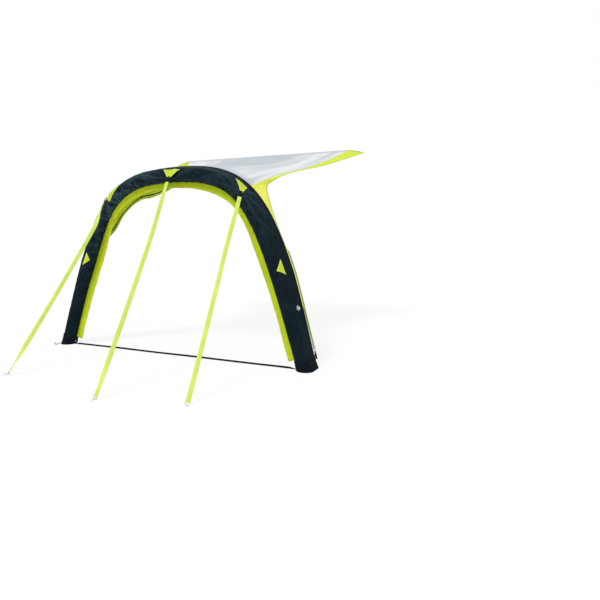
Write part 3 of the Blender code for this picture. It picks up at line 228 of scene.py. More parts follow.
class Station:
    """A place on the arch: its centre and the directions out, back and along to the crown."""

    def __init__(self, share, side):
        if share > 1:
            share, side = 2 - share, -side
        self.share = share
        rest = 1 - share
        foot = Vector((FOOT_HALF, 0))
        leg = Vector((FOOT_HALF - LEG_HANDLE_IN, LEG_HANDLE_UP))
        crown = Vector((CROWN_HANDLE, ARCH_RISE))
        top = Vector((0, ARCH_RISE))
        place = (
            foot * rest**3
            + leg * (3 * rest**2 * share)
            + crown * (3 * rest * share**2)
            + top * share**3
        )
        slope = (
            (leg - foot) * (3 * rest**2)
            + (crown - leg) * (6 * rest * share)
            + (top - crown) * (3 * share**2)
        )
        self.speed = slope.length
        slope.normalize()
        tilt = Vector((0, sin(LEAN), cos(LEAN)))
        self.back = Vector((0, cos(LEAN), -sin(LEAN)))
        self.height = place.y * cos(LEAN)
        self.centre = X_AXIS * (side * place.x) + tilt * place.y
        self.centre += Vector((0, FEET_Y, GROUND_Z))
        self.along = X_AXIS * (side * slope.x) + tilt * slope.y
        self.out = X_AXIS * (side * slope.y) - tilt * slope.x
        rise = min(1, self.height / FIN_FULL_HEIGHT)
        self.reach = FIN_REACH * (FIN_FOOT_SHARE + (1 - FIN_FOOT_SHARE) * rise)
        self.outer_angle = FIN_ANGLE - acos(TUBE_RADIUS / self.reach)
        self.flank = sqrt(self.reach**2 - TUBE_RADIUS**2)
        self.arc = 2 * (self.outer_angle + pi - FIN_ANGLE) * TUBE_RADIUS
        self.girth = self.arc + 2 * self.flank

    def turn(self, angle):
        """The direction at an angle from out towards back."""
        return self.out * cos(angle) + self.back * sin(angle)

    def fin_edge(self, past):
        """A point past the fin's edge."""
        return self.centre + self.turn(FIN_ANGLE) * (self.reach + past)

    def flap(self):
        """The flap's tip and the angle of its root."""
        rows = FLAP_SHARES
        low, high = next(pair for pair in zip(rows, rows[1:]) if self.share <= pair[1][0])
        part = ease((self.share - low[0]) / (high[0] - low[0]))
        inward, back, turned = (a + (b - a) * part for a, b in zip(low[1:], high[1:]))
        tip = self.centre - self.out * (inward * TUBE_RADIUS)
        return tip + self.back * (back * TUBE_RADIUS), pi * (1 - turned / 2)

    def skin(self, run, leave=None, scale=1):
        """A point of the skin and its angle. Runs are positive up the outer flank and
        negative round the front, and past the tube they climb the inner flank."""
        radius = TUBE_RADIUS * scale
        kept = min(0, max(run, -self.arc if leave is None else leave))
        angle = self.outer_angle + kept / TUBE_RADIUS
        past = (run - kept) * scale
        point = self.centre + self.turn(angle) * radius
        return point + self.turn(angle + pi / 2) * past, angle


def arch_table():
    """Shares, distances from the foot and bends of the centreline."""
    shares = np.linspace(0, 1, 401)
    stations = [Station(share, 1) for share in shares]
    steps = [(b.centre - a.centre).length for a, b in zip(stations, stations[1:])]
    runs = np.concatenate([[0], np.cumsum(steps)])
    turns = [a.along.angle(b.along) for a, b in zip(stations, stations[1:])]
    bends = np.array([*turns, turns[-1]]) / np.array([*steps, steps[-1]])
    return shares, runs, bends


SHARES, RUNS, BENDS = arch_table()
HALF_ARCH = float(RUNS[-1])


def station_at(distance):
    """The station at a distance from the crown, to the right if positive."""
    share = float(np.interp(HALF_ARCH - abs(distance), RUNS, SHARES))
    return Station(share, -1 if distance < 0 else 1)


def distance_of(share, side):
    """How far right of the crown a share of the arch lies."""
    if share > 1:
        share, side = 2 - share, -side
    return side * (HALF_ARCH - float(np.interp(share, SHARES, RUNS)))


def station_at_height(height, side=1):
    """The station at a height above the ground, by halving."""
    low, high = 0.0, 1.0
    for _ in range(40):
        middle = (low + high) / 2
        if Station(middle, 1).height < height:
            low = middle
        else:
            high = middle
    return Station(low, side)


def reach_at_height(height):
    """How far from the crown the arch passes a height."""
    return distance_of(station_at_height(height).share, 1)


def spread(start, end, steps):
    """Evenly spaced values from start to end."""
    return [start + (end - start) * i / steps for i in range(steps + 1)]


def ground_point(share_x, share_y, share_z, side):
    """A point from shares of the awning's sizes, from the feet's middle on the ground."""
    x, y = side * share_x * FOOT_HALF, FEET_Y + share_y * RAIL_DEPTH
    return Vector((x, y, GROUND_Z + share_z * RAIL_HEIGHT))


def smooth_path(points, count):
    """Evenly spaced points along a Catmull-Rom curve through the given ones."""
    ends = [points[0] * 2 - points[1], *points, points[-1] * 2 - points[-2]]
    fine = []
    for a, b, c, d in zip(ends, ends[1:], ends[2:], ends[3:]):
        for t in spread(0, 1, 24)[:-1]:
            bend = (a * 2 - b * 5 + c * 4 - d) * t**2
            fine.append((b * 2 + (c - a) * t + bend + (b * 3 - a - c * 3 + d) * t**3) / 2)
    fine.append(points[-1])
    line = np.array(fine)
    runs = np.concatenate([[0], np.cumsum(np.linalg.norm(np.diff(line, axis=0), axis=1))])
    wanted = np.linspace(0, runs[-1], count + 1)
    columns = [np.interp(wanted, runs, line[:, axis]) for axis in range(3)]
    return [Vector(point) for point in zip(*columns)]


def run_at(path, k):
    """The way a path goes at one of its points."""
    return path[min(k + 1, len(path) - 1)] - path[max(k - 1, 0)]


def slide(point, along, level):
    """A point slid along a direction to a level."""
    return point - along * ((point.z - level) / along.z)


def length_of(path):
    """The length of a path of points."""
    return sum((b - a).length for a, b in zip(path, path[1:]))


def arc(radius, start, end, steps):
    """Points of a circle's arc round the origin."""
    return [(radius * cos(a), radius * sin(a)) for a in spread(start, end, steps)]


def ripple(x, y, z):
    """Smooth noise, from -1 to 1."""
    return noise.noise(Vector((x, y, z)))


def folds(x, y, z, sharp=3.0):
    """Creases of tight cloth: 0 between them, 1 at the bottom of each."""
    return max(0.0, 1 - abs(ripple(x, y, z)) * sharp)


def ease(value):
    """0 to 1 with soft ends."""
    value = min(1, max(0, value))
    return value * value * (3 - 2 * value)


# Making pieces

def add_object(name, data):
    """Put a mesh, lamp or camera into the scene."""
    item = bpy.data.objects.new(name, data)
    bpy.context.scene.collection.objects.link(item)
    return item


def add_piece(bm, name, material, node=None, body=ROOT_BODY, smooth=60):
    """A bmesh as a smooth piece that rides on its body and stands for its CAD node."""
    bmesh.ops.remove_doubles(bm, verts=bm.verts, dist=1e-6)
    bmesh.ops.recalc_face_normals(bm, faces=bm.faces)
    mesh = bpy.data.meshes.new(name)
    bm.to_mesh(mesh)
    bm.free()
    mesh.shade_smooth()
    mesh.set_sharp_from_angle(angle=radians(smooth))
    mesh.materials.append(MATERIALS[material])
    item = add_object(name, mesh)
    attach(item, body)
    if node:
        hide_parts(node)
    return item


def grid(columns, rows, place, size, **maps):
    """A grid laid on a surface: place takes shares across and along. Its UV map is in
    metres. The X of each other map holds one value: border the distance to the nearest
    edge, and the ridge map the share of painted highlight on a fold's ridge."""
    maps = {"UVMap": lambda across, along: across * size[0], **maps}
    bm = bmesh.new()
    layers = {name: bm.loops.layers.uv.new(name) for name in maps}
    bmesh.ops.create_grid(bm, x_segments=columns, y_segments=rows, size=0.5, calc_uvs=True)
    shares = {vert: (vert.co.x + 0.5, vert.co.y + 0.5) for vert in bm.verts}
    for vert, share in shares.items():
        vert.co = place(*share)
    for name, value in maps.items():
        values = {vert: value(*share) for vert, share in shares.items()}
        for loop in (loop for face in bm.faces for loop in face.loops):
            loop[layers[name]].uv = (values[loop.vert], shares[loop.vert][1] * size[1])
    return bm


def thicken(item, thickness, offset=-1.0):
    """Give cloth its wall."""
    wall = item.modifiers.new("wall", "SOLIDIFY")
    wall.thickness = thickness
    wall.offset = offset


def soften(item, width, angle=40):
    """Round a piece's edges."""
    edge = item.modifiers.new("soft_edge", "BEVEL")
    edge.width = width
    edge.segments = 2
    edge.limit_method = "ANGLE"
    edge.angle_limit = radians(angle)


def close_ends(bm, below=inf):
    """Merge a tube's seam and fill its open ends, or only those below a height."""
    bmesh.ops.remove_doubles(bm, verts=bm.verts, dist=1e-6)
    ends = [e for e in bm.edges if e.is_boundary and all(v.co.z < below for v in e.verts)]
    bmesh.ops.holes_fill(bm, edges=ends, sides=0)
    return bm


def sweep(places, outline, length):
    """An outline carried along places of (point, across, up), closed at both ends."""
    count = len(outline)
    perimeter = sum(dist(a, b) for a, b in zip(outline, outline[1:] + outline[:1]))

    def place(across, along):
        point, sideways, up = places[round(along * (len(places) - 1))]
        x, y = outline[round(across * count) % count]
        return point + sideways * x + up * y

    return close_ends(grid(count, len(places) - 1, place, (perimeter, length)))


def strip(places, width, thickness, length):
    """A band with half-round edges, carried along places as in sweep."""
    half, round_off = width / 2, thickness / 2
    outline = []
    for side, first in ((1, -pi / 2), (-1, pi / 2)):
        for x, y in arc(round_off, first, first + pi, 4):
            outline.append((side * (half - round_off) + x, y))
    return sweep(places, outline, length)


def band(name, path, ups, width, thickness, material, node=None, slot=None, body=ROOT_BODY):
    """Webbing along a path, with a direction off its face at each point."""
    places = []
    for k, point in enumerate(path):
        run = run_at(path, k)
        sideways = run.cross(ups[k]).normalized()
        places.append((point, sideways, sideways.cross(run).normalized()))
    bm = strip(places, width, thickness, length_of(path))
    return add_piece(bm, name, material, node, body)


def refine(node, name, material, body=ROOT_BODY, edge=0.0, rounds=0):
    """A CAD node's own form with merged faces and rounded edges."""
    bm = bmesh.new()
    bm.from_mesh(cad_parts[node].data)
    bmesh.ops.remove_doubles(bm, verts=bm.verts, dist=1e-6)
    bmesh.ops.dissolve_limit(bm, angle_limit=radians(1), verts=bm.verts, edges=bm.edges)
    item = add_piece(bm, name, material, node, body, 40)
    if edge:
        soften(item, edge)
    if rounds:
        finer = item.modifiers.new("finer", "SUBSURF")
        finer.levels = finer.render_levels = rounds
    return item


# Materials

MATERIALS = {}

# Blender's wave bands repeat every 0.314 / scale
WAVE_PERIOD = 2 * pi / 20
STITCH_SPACING = 0.008


def linear(colour):
    """An sRGB hex colour as linear values."""
    channels = [int(colour[i : i + 2], 16) / 255 for i in (1, 3, 5)]
    return *[c / 12.92 if c <= 0.04045 else ((c + 0.055) / 1.055) ** 2.4 for c in channels], 1


def set_inputs(node, inputs):
    """Give a node's sockets their values and links."""
    for name, value in inputs.items():
        if isinstance(value, bpy.types.NodeSocket):
            node.id_data.links.new(value, node.inputs[name])
        else:
            node.inputs[name].default_value = value


def add_node(tree, kind, output=0, inputs=None, **settings):
    """A node with its settings, values and links, given as one of its outputs."""
    made = tree.nodes.new("ShaderNode" + kind)
    for name, value in settings.items():
        setattr(made, name, value)
    set_inputs(made, inputs or {})
    return made.outputs[output]


def start_material(name, roughness, metallic=0.0, sheen=0.0, gloss=0.5):
    """A Principled material's shader, and add_node for its tree."""
    material = MATERIALS[name] = bpy.data.materials.new(name)
    material.use_nodes = True
    shader = material.node_tree.nodes["Principled BSDF"]
    set_inputs(shader, {
        "Roughness": roughness, "Metallic": metallic, "Sheen Weight": sheen,
        "Sheen Roughness": 0.5, "Specular IOR Level": gloss,
    })
    if not metallic:
        set_inputs(shader, {"IOR": 1.5})
    return shader, partial(add_node, shader.id_data)


def woven(
    name, colour, shade, roughness, thread=0.002, relief=0.0003, sheen=0.1, gloss=0.3,
    blotch=5.0, ribs=False, stitch=None, far=None, ridge=None,
):
    """Woven cloth: its colour, the shade in its softer parts, the spacing of its threads in
    metres, and if asked a row of stitches (distance from the edge, colour), a colour for
    the far end of its UV map (colour, start, end), or the colour of the painted highlight
    on its fold ridges."""
    shader, add = start_material(name, roughness, sheen=sheen, gloss=gloss)
    cloth = add("UVMap", uv_map="UVMap")
    place = add("TexCoord", "Object")
    blotches = add(
        "TexNoise", "Fac", {"Vector": place, "Scale": blotch, "Detail": 4.0, "Roughness": 0.6},
    )
    soft = add("MapRange", 0, {"Value": blotches, "From Min": 0.35, "From Max": 0.65})
    layers = [(soft, shade)]
    if far:
        run = add("SeparateXYZ", "Y", {"Vector": cloth})
        reached = add(
            "MapRange", 0, {"Value": run, "From Min": far[1], "From Max": far[2]},
            interpolation_type="SMOOTHSTEP",
        )
        layers.append((reached, far[0]))
    # A painted highlight, mixed in where a fold's ridge stands out
    if ridge:
        ridge_highlight_map = add("UVMap", uv_map="ridge")
        layers.append((add("SeparateXYZ", "X", {"Vector": ridge_highlight_map}), ridge))
    if stitch:
        edge = add("UVMap", uv_map="border")
        away = add("SeparateXYZ", "X", {"Vector": edge})
        away = add("Math", 0, {0: away, 1: stitch[0]}, operation="SUBTRACT")
        away = add("Math", 0, {0: away}, operation="ABSOLUTE")
        seam = add(
            "MapRange", 0,
            {"Value": away, "From Min": 0.0008, "From Max": 0.002, "To Min": 1.0,
             "To Max": 0.0},
        )
        dash = add(
            "TexWave", "Fac", {"Vector": cloth, "Scale": WAVE_PERIOD / STITCH_SPACING},
            bands_direction="Y",
        )
        dash = add("Math", 0, {0: dash, 1: 0.3}, operation="GREATER_THAN")
        seam = add("Math", 0, {0: seam, 1: dash}, operation="MULTIPLY")
        layers.append((seam, stitch[1]))
    tone = linear(colour)
    for factor, over in layers:
        tone = add("Mix", 2, {0: factor, 6: tone, 7: linear(over)}, data_type="RGBA")
    waves = []
    for axis, spacing in (("X", thread), ("Y", thread * (2 if ribs else 1))):
        wave = {"Vector": cloth, "Scale": WAVE_PERIOD / spacing, "Distortion": 0.4}
        wave["Detail Scale"] = 0.5
        waves.append(add("TexWave", "Fac", wave, bands_direction=axis))
    height = add("Math", 0, dict(enumerate(waves)), operation="ADD" if ribs else "MULTIPLY")
    weave = add("Bump", 0, {"Strength": 0.35, "Distance": relief, "Height": height})
    grain = add(
        "TexNoise", "Fac", {"Vector": place, "Scale": 55.0, "Detail": 3.0, "Roughness": 0.55},
    )
    crumple = add(
        "Bump", 0, {"Strength": 0.3, "Distance": 0.0012, "Height": grain, "Normal": weave},
    )
    set_inputs(shader, {"Base Color": tone, "Normal": crumple})


def moulded(name, colour, worn, roughness, grain_scale, relief=0.0001, metallic=0.0):
    """A moulded or drawn surface: its colour, where it is rubbed, and its fine grain."""
    shader, add = start_material(name, roughness, metallic)
    place = add("TexCoord", "Object")
    grain = add(
        "TexNoise", "Fac",
        {"Vector": place, "Scale": grain_scale, "Detail": 5.0, "Roughness": 0.6},
    )
    level = add("MapRange", 0, {"Value": grain, "From Min": 0.45, "From Max": 0.75})
    tone = add("Mix", 2, {0: level, 6: linear(colour), 7: linear(worn)}, data_type="RGBA")
    rough = add(
        "MapRange", 0, {"Value": grain, "To Min": roughness - 0.1, "To Max": roughness + 0.15},
    )
    bump = add("Bump", 0, {"Strength": 0.25, "Distance": relief, "Height": grain})
    set_inputs(shader, {"Base Color": tone, "Roughness": rough, "Normal": bump})


# Coated polyester, plain weave, matt, with a painted highlight on the sleeve's fold ridges.
# Real threads are 0.35 mm apart; they are drawn 2 mm apart so that they show.
woven(
    "sleeve_polyester", "#142229", "#0E1A21", 0.62, sheen=0.0, gloss=0.03, ridge="#3A4E57",
)
woven("lime_polyester", "#CCE01E", "#BACE16", 0.62, sheen=0.04, gloss=0.15)
woven("patch_polyester", "#CFE326", "#BCD020", 0.6, sheen=0.08, stitch=(0.006, "#E6F08A"))
# The same cloth of the wings, paler where the light comes through it
woven("wing_polyester", "#FDFD66", "#F6F857", 0.6, sheen=0.04, far=("#D6E634", 1.9, 2.6))
# The wings' hems: dull on the legs, lime under the roof
woven(
    "hem_polyester", "#8E9A70", "#828E66", 0.62, 0.0018, sheen=0.04, gloss=0.15,
    far=("#C4D23A", 1.2, 1.7),
)
# Folded edge bindings, a little paler than the cloth
woven("patch_binding", "#CFE23A", "#BFD428", 0.6, 0.0015, ribs=True)
# Light-reflecting coated roof polyester: silver, smoother and glossier than the rest, with
# a painted highlight on the ridges of its folds
woven(
    "roof_polyester", "#BEC6CC", "#B3BCC3", 0.5, sheen=0.03,
    stitch=(0.012, "#DDE3E6"), ridge="#ECEFF1",
)
# PVC-backed oxford polyester of the boots, coarse and scuffed
woven("boot_polyester", "#0C131A", "#141B22", 0.7, 0.003, 0.0006, 0.0, 0.04, blotch=18.0)
# Narrow-woven polypropylene webbing, ribbed across
woven("black_webbing", "#12171A", "#1A1F22", 0.72, 0.0018, 0.0005, 0.02, 0.08, ribs=True)
woven("lime_webbing", "#DAF06E", "#CDE65C", 0.62, 0.0018, 0.0005, ribs=True, blotch=9.0)
# The same webbing, dyed darker, of the wings' tail straps
woven("olive_webbing", "#93A83C", "#869A34", 0.62, 0.0018, 0.0005, 0.02, 0.1, ribs=True)
# PVC keder tape, calendered and slightly glossy
woven("keder_tape_pvc", "#7F868B", "#727A7F", 0.5, 0.0015, 0.0002, blotch=12.0)
# Solution-dyed seam tape, black
woven("seam_tape", "#14181A", "#1B2022", 0.75, 0.0015, 0.0003, 0.02, 0.08, ribs=True)
# Thermoplastic polyurethane film: clear, milky where it is thick
moulded("clear_tpu", "#C9D2D6", "#DDE4E7", 0.35, 40.0, 0.0002)
# Extruded PVC cord
moulded("keder_pvc", "#8E9499", "#A3A9AE", 0.45, 90.0)
# Injection-moulded acetal: hard, satin, paler on its rubbed edges
moulded("acetal", "#111416", "#23282B", 0.4, 220.0)
# Black powder-coated steel wire of the boots' pegs and the tails' eyelets
moulded("coated_steel", "#101213", "#1C1F20", 0.5, 160.0)
# Zinc-plated steel wire with drawing marks
moulded("zinc_steel", "#B9BDBF", "#8F9496", 0.34, 160.0, metallic=1.0)
# Injection-moulded nylon of the valve
moulded("valve_nylon", "#B3BBBF", "#C7CED1", 0.45, 160.0)
# Natural rubber with a dull bloom
moulded("rubber", "#1B1D1E", "#2B2E2F", 0.75, 120.0, 0.0002)


# Guys, as in the part

class Guy:
    """Where one guy leaves the sleeve, and the directions of its buckle's hinge."""

    def __init__(self, name):
        self.name = name
        self.body = f"{name}_guy"
        self.side = -1 if name == "left" else 1
        self.share, peg_x, peg_y, self.twist, self.bow, self.bow_share = GUY_ROWS[name]
        self.width, self.rise, past = CROWN_TAB if name == "crown" else SHOULDER_TAB
        anchor = Vector((peg_x, FEET_Y + peg_y, GROUND_Z + RING_REST_HEIGHT))
        station = Station(self.share, self.side)
        start, reach = station.centre, TUBE_RADIUS + PATCH_LIFT + PATCH_THICKNESS / 2
        for _ in range(8):
            pull = (anchor - start).normalized()
            angle = -atan(pull.dot(station.out) / pull.dot(station.back))
            normal = station.turn(angle)
            start = station.centre + normal * reach
        self.leave = (angle - station.outer_angle) * TUBE_RADIUS
        slant = sqrt(1 - pull.dot(station.along) ** 2)
        self.skew = -pull.dot(station.along) / slant
        self.tip_run = self.leave - past
        self.hinge = start + pull * (past / slant + LOOP_REACH)
        self.length = (anchor - self.hinge).length
        self.pull, self.normal = pull, normal
        self.axis = pull.cross(normal)
        self.distance = distance_of(self.share, self.side)

    def at(self, away, up=0.0):
        """A point of the guy's frame: along the pull and up from the skin."""
        return self.hinge + self.pull * away + self.normal * up


GUYS = [Guy(name) for name in GUY_ROWS]


# The sleeve and what is sewn to it

def crease(distance, run, station, angle):
    """How far the sleeve's cloth sinks at a place, and how much painted highlight its fold's
    ridge takes, 0 to 1.
    """
    bend = float(np.interp(HALF_ARCH - abs(distance), RUNS, BENDS))
    tight = min(1.6, bend / 0.9)
    inner = max(0.0, -cos(angle))
    # Folds across the tube in the bends, and slanted ones in both directions: width,
    # length, slant and depth
    layers = (
        (0.055, 0.30, 0.0, 0.0042 * tight * (0.2 + inner)),
        (0.075, 0.50, 1.5, 0.0024 * (0.35 + 0.65 * tight)),
        (0.085, 0.50, -1.5, 0.0022 * (0.35 + 0.65 * tight)),
    )
    # Each fold's ridge takes a painted highlight that grows with the fold's depth
    sink = ridge = 0.0
    for number, (width, length, slant, depth) in enumerate(layers):
        fold = folds(
            (distance + slant * run) / width, (run - slant * distance) / length,
            3.1 + 4.6 * number, 3.0,
        )
        sink += depth * (1 - fold)
        ridge += 1.1 * depth * fold**2.5
    sink += 0.002 * (0.5 + 0.5 * ripple(distance / 0.16, run / 0.11, 1.3))
    # Folds that fan out from the tip of each guy's tab
    for guy in GUYS:
        aside, up = distance - guy.distance, run - guy.tip_run
        away = hypot(aside, up)
        if away < 0.7:
            ray = atan2(up * 1.6, aside) * 9
            ray += 1.6 * ripple(distance / 0.2, run / 0.2, 20.0)
            depth = 0.0075 * exp(-away / 0.22) * (1 - exp(-away / 0.03))
            fold = (0.5 + 0.5 * cos(ray)) ** 4
            sink += depth * (1 - fold)
            ridge += 1.3 * depth * fold
    pinch = min(station.flank - run, run + station.arc + station.flank)
    loose = ease(pinch / 0.06)
    # The folds left of the crown catch the light, and the others hardly do
    lit = 0.38 + 0.52 * ease((0.1 - distance) / 0.4) * ease((distance + 2.0) / 0.6)
    return min(CREASE_DEPTH, sink) * loose, min(1.0, ridge / RIDGE_HIGHLIGHT_DEPTH) * loose * lit


def sleeve_point(distance, run, lift=0.0, leave=None):
    """A point of the creased sleeve at a distance from the crown."""
    station = station_at(distance)
    point, angle = station.skin(run, leave)
    loose = 1.0 if leave is None else ease((run - leave) / 0.02 + 1)
    sink = crease(distance, run, station, angle)[0] * loose
    return point + station.turn(angle) * (lift - sink)


def build_sleeve():
    """The sleeve's tear-drop skin from one foot over the crown to the other."""
    foot = reach_at_height(SLEEVE_FOOT_HEIGHT)

    def spot(across, along):
        distance = foot * (2 * along - 1)
        station = station_at(distance)
        return distance, station.flank - station.girth * across, station

    def place(across, along):
        return sleeve_point(*spot(across, along)[:2])

    # The share of painted highlight on each fold's ridge
    def ridge(across, along):
        distance, run, station = spot(across, along)
        return crease(distance, run, station, station.skin(run)[1])[1]

    bm = grid(72, 640, place, (Station(1, 1).girth, 2 * foot), ridge=ridge)
    sleeve = add_piece(bm, "sleeve", "sleeve_polyester", "arch_sleeve")
    thicken(sleeve, SLEEVE_WALL)


def build_air_tube():
    """The bladder, slimmer than the sleeve so that no crease meets it."""
    foot = reach_at_height(SLEEVE_FOOT_HEIGHT + 0.004)

    def ring(across, along):
        station = station_at(foot * (2 * along - 1))
        taper = 1 - 0.35 * max(0, abs(2 * along - 1) - 0.99) / 0.01
        return station.centre + station.turn(2 * pi * across) * (BLADDER_RADIUS * taper)

    bm = close_ends(grid(28, 160, ring, (2 * pi * BLADDER_RADIUS, 2 * foot)))
    add_piece(bm, "bladder", "clear_tpu", "air_tube", smooth=40)


def build_flap():
    """The lime flap on the arch's inner edge, wavy towards its bound edge."""
    foot = reach_at_height(BOOT_HEIGHT + 0.004)

    def line(across, along):
        distance = foot * (2 * along - 1)
        station = station_at(distance)
        tip, angle = station.flap()
        run = (angle - 2 * pi - station.outer_angle) * TUBE_RADIUS
        root = sleeve_point(distance, run, -0.0006)
        inward = (tip - root).normalized()
        normal = (station.back - inward * station.back.dot(inward)).normalized()
        wave = 0.007 * ripple(distance / 0.24, 0.4, 5.0)
        wave += 0.004 * ripple(distance / 0.07, 0.8 * across, 9.0)
        wave -= 0.0035 * folds(distance / 0.12, across * 0.7, 15.0, 3.5)
        short = 0.003 * ripple(distance / 0.12, 2.0, 2.0)
        point = root.lerp(tip, across) + (normal * wave - inward * short) * across
        return point, inward, normal

    bm = grid(10, 520, lambda u, v: line(u, v)[0], (0.065, 2 * foot))
    flap = add_piece(bm, "flap", "lime_polyester", "arch_flap")
    thicken(flap, CLOTH_WALL, 0)
    bm = strip([line(1, along) for along in spread(0, 1, 520)], *FLAP_BINDING, 2 * foot)
    binding = add_piece(bm, "flap_binding", "patch_binding")


def edge_distance(width, length):
    """The border map of cloth whose width depends on the share of its length."""

    def border(across, along):
        side = width(along) * min(across, 1 - across)
        return min(side, length * along, length * (1 - along))

    return border


def patch(name, node, place, width, length):
    """A patch sewn on the sleeve."""
    bm = grid(16, 16, place, (width(0), length), border=edge_distance(width, length))
    item = add_piece(bm, name, "patch_polyester", node)
    thicken(item, PATCH_WALL, 1)
    soften(item, 0.0005, 50)


def build_guy_tab(guy):
    """The inverted triangle whose tip carries the guy's loop."""
    top, tip = guy.leave + guy.rise, guy.tip_run
    speed = Station(guy.share, guy.side).speed

    def width(along):
        return guy.width + (TAB_TIP_WIDTH - guy.width) * along

    def place(across, along):
        run = top + (tip - top) * along
        offset = guy.skew * (run - guy.leave) + width(along) * (across - 0.5)
        distance = distance_of(guy.share + offset / speed, guy.side)
        return sleeve_point(distance, run, PATCH_LIFT, guy.leave)

    patch(f"{guy.name}_tab", f"{guy.name}_guy_tab", place, width, top - tip)


def build_triangle(name, node, corners, side, rise=0.0):
    """A patch between two corners and a tip, whose base stands off by rise."""
    outer, inner, tip = (Vector(corner) for corner in corners)

    def place(across, along):
        part = (1 - LEG_PATCH_TIP_SHARE) * along
        share, run = outer.lerp(tip, part).lerp(inner.lerp(tip, part), across)
        lift = PATCH_LIFT + rise * sin(pi * across) * (1 - along)
        return sleeve_point(distance_of(share, side), run * TUBE_RADIUS, lift)

    base = (place(0, 0) - place(1, 0)).length
    length = (place(0.5, 1) - place(0.5, 0)).length
    patch(name, node, place, lambda along: base * (1 - along), length)


# Roof and wings

def rail_drop(x):
    """How far the rail's line has dropped past its straight part."""
    return RAIL_END_DROP * max(0, abs(x) - RAIL_HALF) / RAIL_END_RUN


def rail_point(x):
    """A point of the roof's edge, just before the keder's tail."""
    return Vector((x, -KEDER_TAIL - SEAM_GAP, -rail_drop(x)))


def fin_line(shares, side, past=-SEAM_TUCK):
    """The fin's edge, by default where the roof and the wings are tucked into it."""
    return [Station(share, side).fin_edge(past) for share in shares]


def roof_seam(side, steps):
    """The line between roof and wing, from the shoulder to the rail."""
    points = fin_line([SHOULDER_SHARE], side)
    points += [ground_point(*row, side) for row in ROOF_SEAM_SHARES]
    points.append(rail_point(side * RAIL_HALF))
    return smooth_path(points, steps)


def build_roof():
    """The roof sheet between fin, rail and wings, pulled into folds towards its corners."""
    columns, rows = 192, 150
    shares = spread(SHOULDER_SHARE, 1, columns // 2)
    front = fin_line(shares, -1) + fin_line(shares[-2::-1], 1)
    left, right = roof_seam(-1, rows), roof_seam(1, rows)
    back = [rail_point(x) for x in spread(-RAIL_HALF, RAIL_HALF, columns)]

    def place(across, along):
        i, k = round(across * columns), round(along * rows)
        between = front[i].lerp(back[i], along) + left[k].lerp(right[k], across)
        corners = front[0].lerp(front[-1], across)
        corners = corners.lerp(back[0].lerp(back[-1], across), along)
        edge = abs(2 * across - 1)
        swell = sin(pi * along) ** 2 * edge**2 * (1 - edge) * 4
        lift = ROOF_FOLD_DEPTH * swell * cos(2 * pi * ROOF_FOLD_COUNT * edge)
        side = 3.0 if across > 0.5 else 23.0
        # Tight folds run beside each wing, from the shoulder to the rail's corner
        near_side = ease((edge - 0.55) / 0.25) * ease((1 - edge) / 0.05)
        spine = ease(along / 0.12) * ease((1 - along) / 0.1)
        pulled = folds(edge * 13 + 0.4 * along, along * 0.9, side, 2.2)
        lift -= 0.011 * near_side * spine * pulled
        # Shallow slack over the whole sheet
        slack = 0.006 * ease(along / 0.1) * ease((1 - along) / 0.1)
        lift += slack * ripple(across * 7, along * 2.2, 31.0)
        # Puckers where the sheet is sewn to the keder and to the fin
        pucker = 0.0035 * ease(1 - (1 - along) / 0.05) * ease((1 - along) / 0.006)
        lift -= pucker * folds(across * 46, along * 2, 41.0, 2.0)
        pucker = 0.004 * ease(1 - along / 0.06) * ease(along / 0.006)
        lift -= pucker * folds(across * 40, along * 2, 51.0, 2.0)
        return between - corners + Z_AXIS * lift

    # Painted highlight streaks on the ridges of the folds beside each wing
    def ridge(across, along):
        edge = abs(2 * across - 1)
        side = 3.0 if across > 0.5 else 23.0
        near_side = ease((edge - 0.3) / 0.5) * ease(along / 0.1) * ease((1 - along) / 0.06)
        return near_side * folds(edge * 7 + 0.5 * along, along * 0.7, side + 4.0, 2.0)

    middle = columns // 2
    width, length = 2 * RAIL_HALF, (back[middle] - front[middle]).length
    border = edge_distance(lambda along: width, length)
    bm = grid(columns, rows, place, (width, length), border=border, ridge=ridge)
    roof = add_piece(bm, "roof", "roof_polyester", "roof_panel")
    thicken(roof, CLOTH_WALL, 0)
    return roof


def at_depth(path, depth):
    """The point of a path that leads back to the wall, at a distance from the wall."""
    for a, b in zip(path, path[1:]):
        if b.y >= depth:
            return a.lerp(b, max(0, (depth - a.y) / (b.y - a.y)))
    return path[-1].copy()


def wing_edges(side):
    """Matching points of a wing's sewn edge and free edge, from the leg to the rail."""
    shares = spread(WING_TAIL_SHARE, SHOULDER_SHARE, LEG_STEPS)
    sewn = fin_line(shares, side)
    seam = roof_seam(side, ROOF_STEPS)
    points = [rail_point(side * (RAIL_HALF + RAIL_END_RUN))]
    for x, y, z, drop in FREE_EDGE_SHARES:
        points.append(ground_point(x, y, z - (drop if side < 0 else 0), side))
    corner = 1 + SHOULDER_ROW
    low = round(LEG_STEPS * STRIP_SHARE)
    tail = fin_line(shares[: low + 1], side, SEAM_GAP + STRIP_WIDTH)
    upper = smooth_path([*points[corner:], tail[-1]], LEG_STEPS - low)
    along_leg = tail[:-1] + upper[::-1]
    fine = smooth_path(points[: corner + 1], 400)[::-1]
    lead, run = fine[0].y - seam[0].y, seam[-1].y - seam[0].y
    rests = [((seam[-1].y - point.y) / run) ** TURN_POWER for point in seam]
    along_roof = [at_depth(fine, point.y + lead * rest) for point, rest in zip(seam, rests)]
    moved = [
        point + (away - point).normalized() * SEAM_CORNER_GAP
        for point, away in zip(seam, along_roof)
    ]
    return sewn[:-1] + moved, along_leg + along_roof[1:]


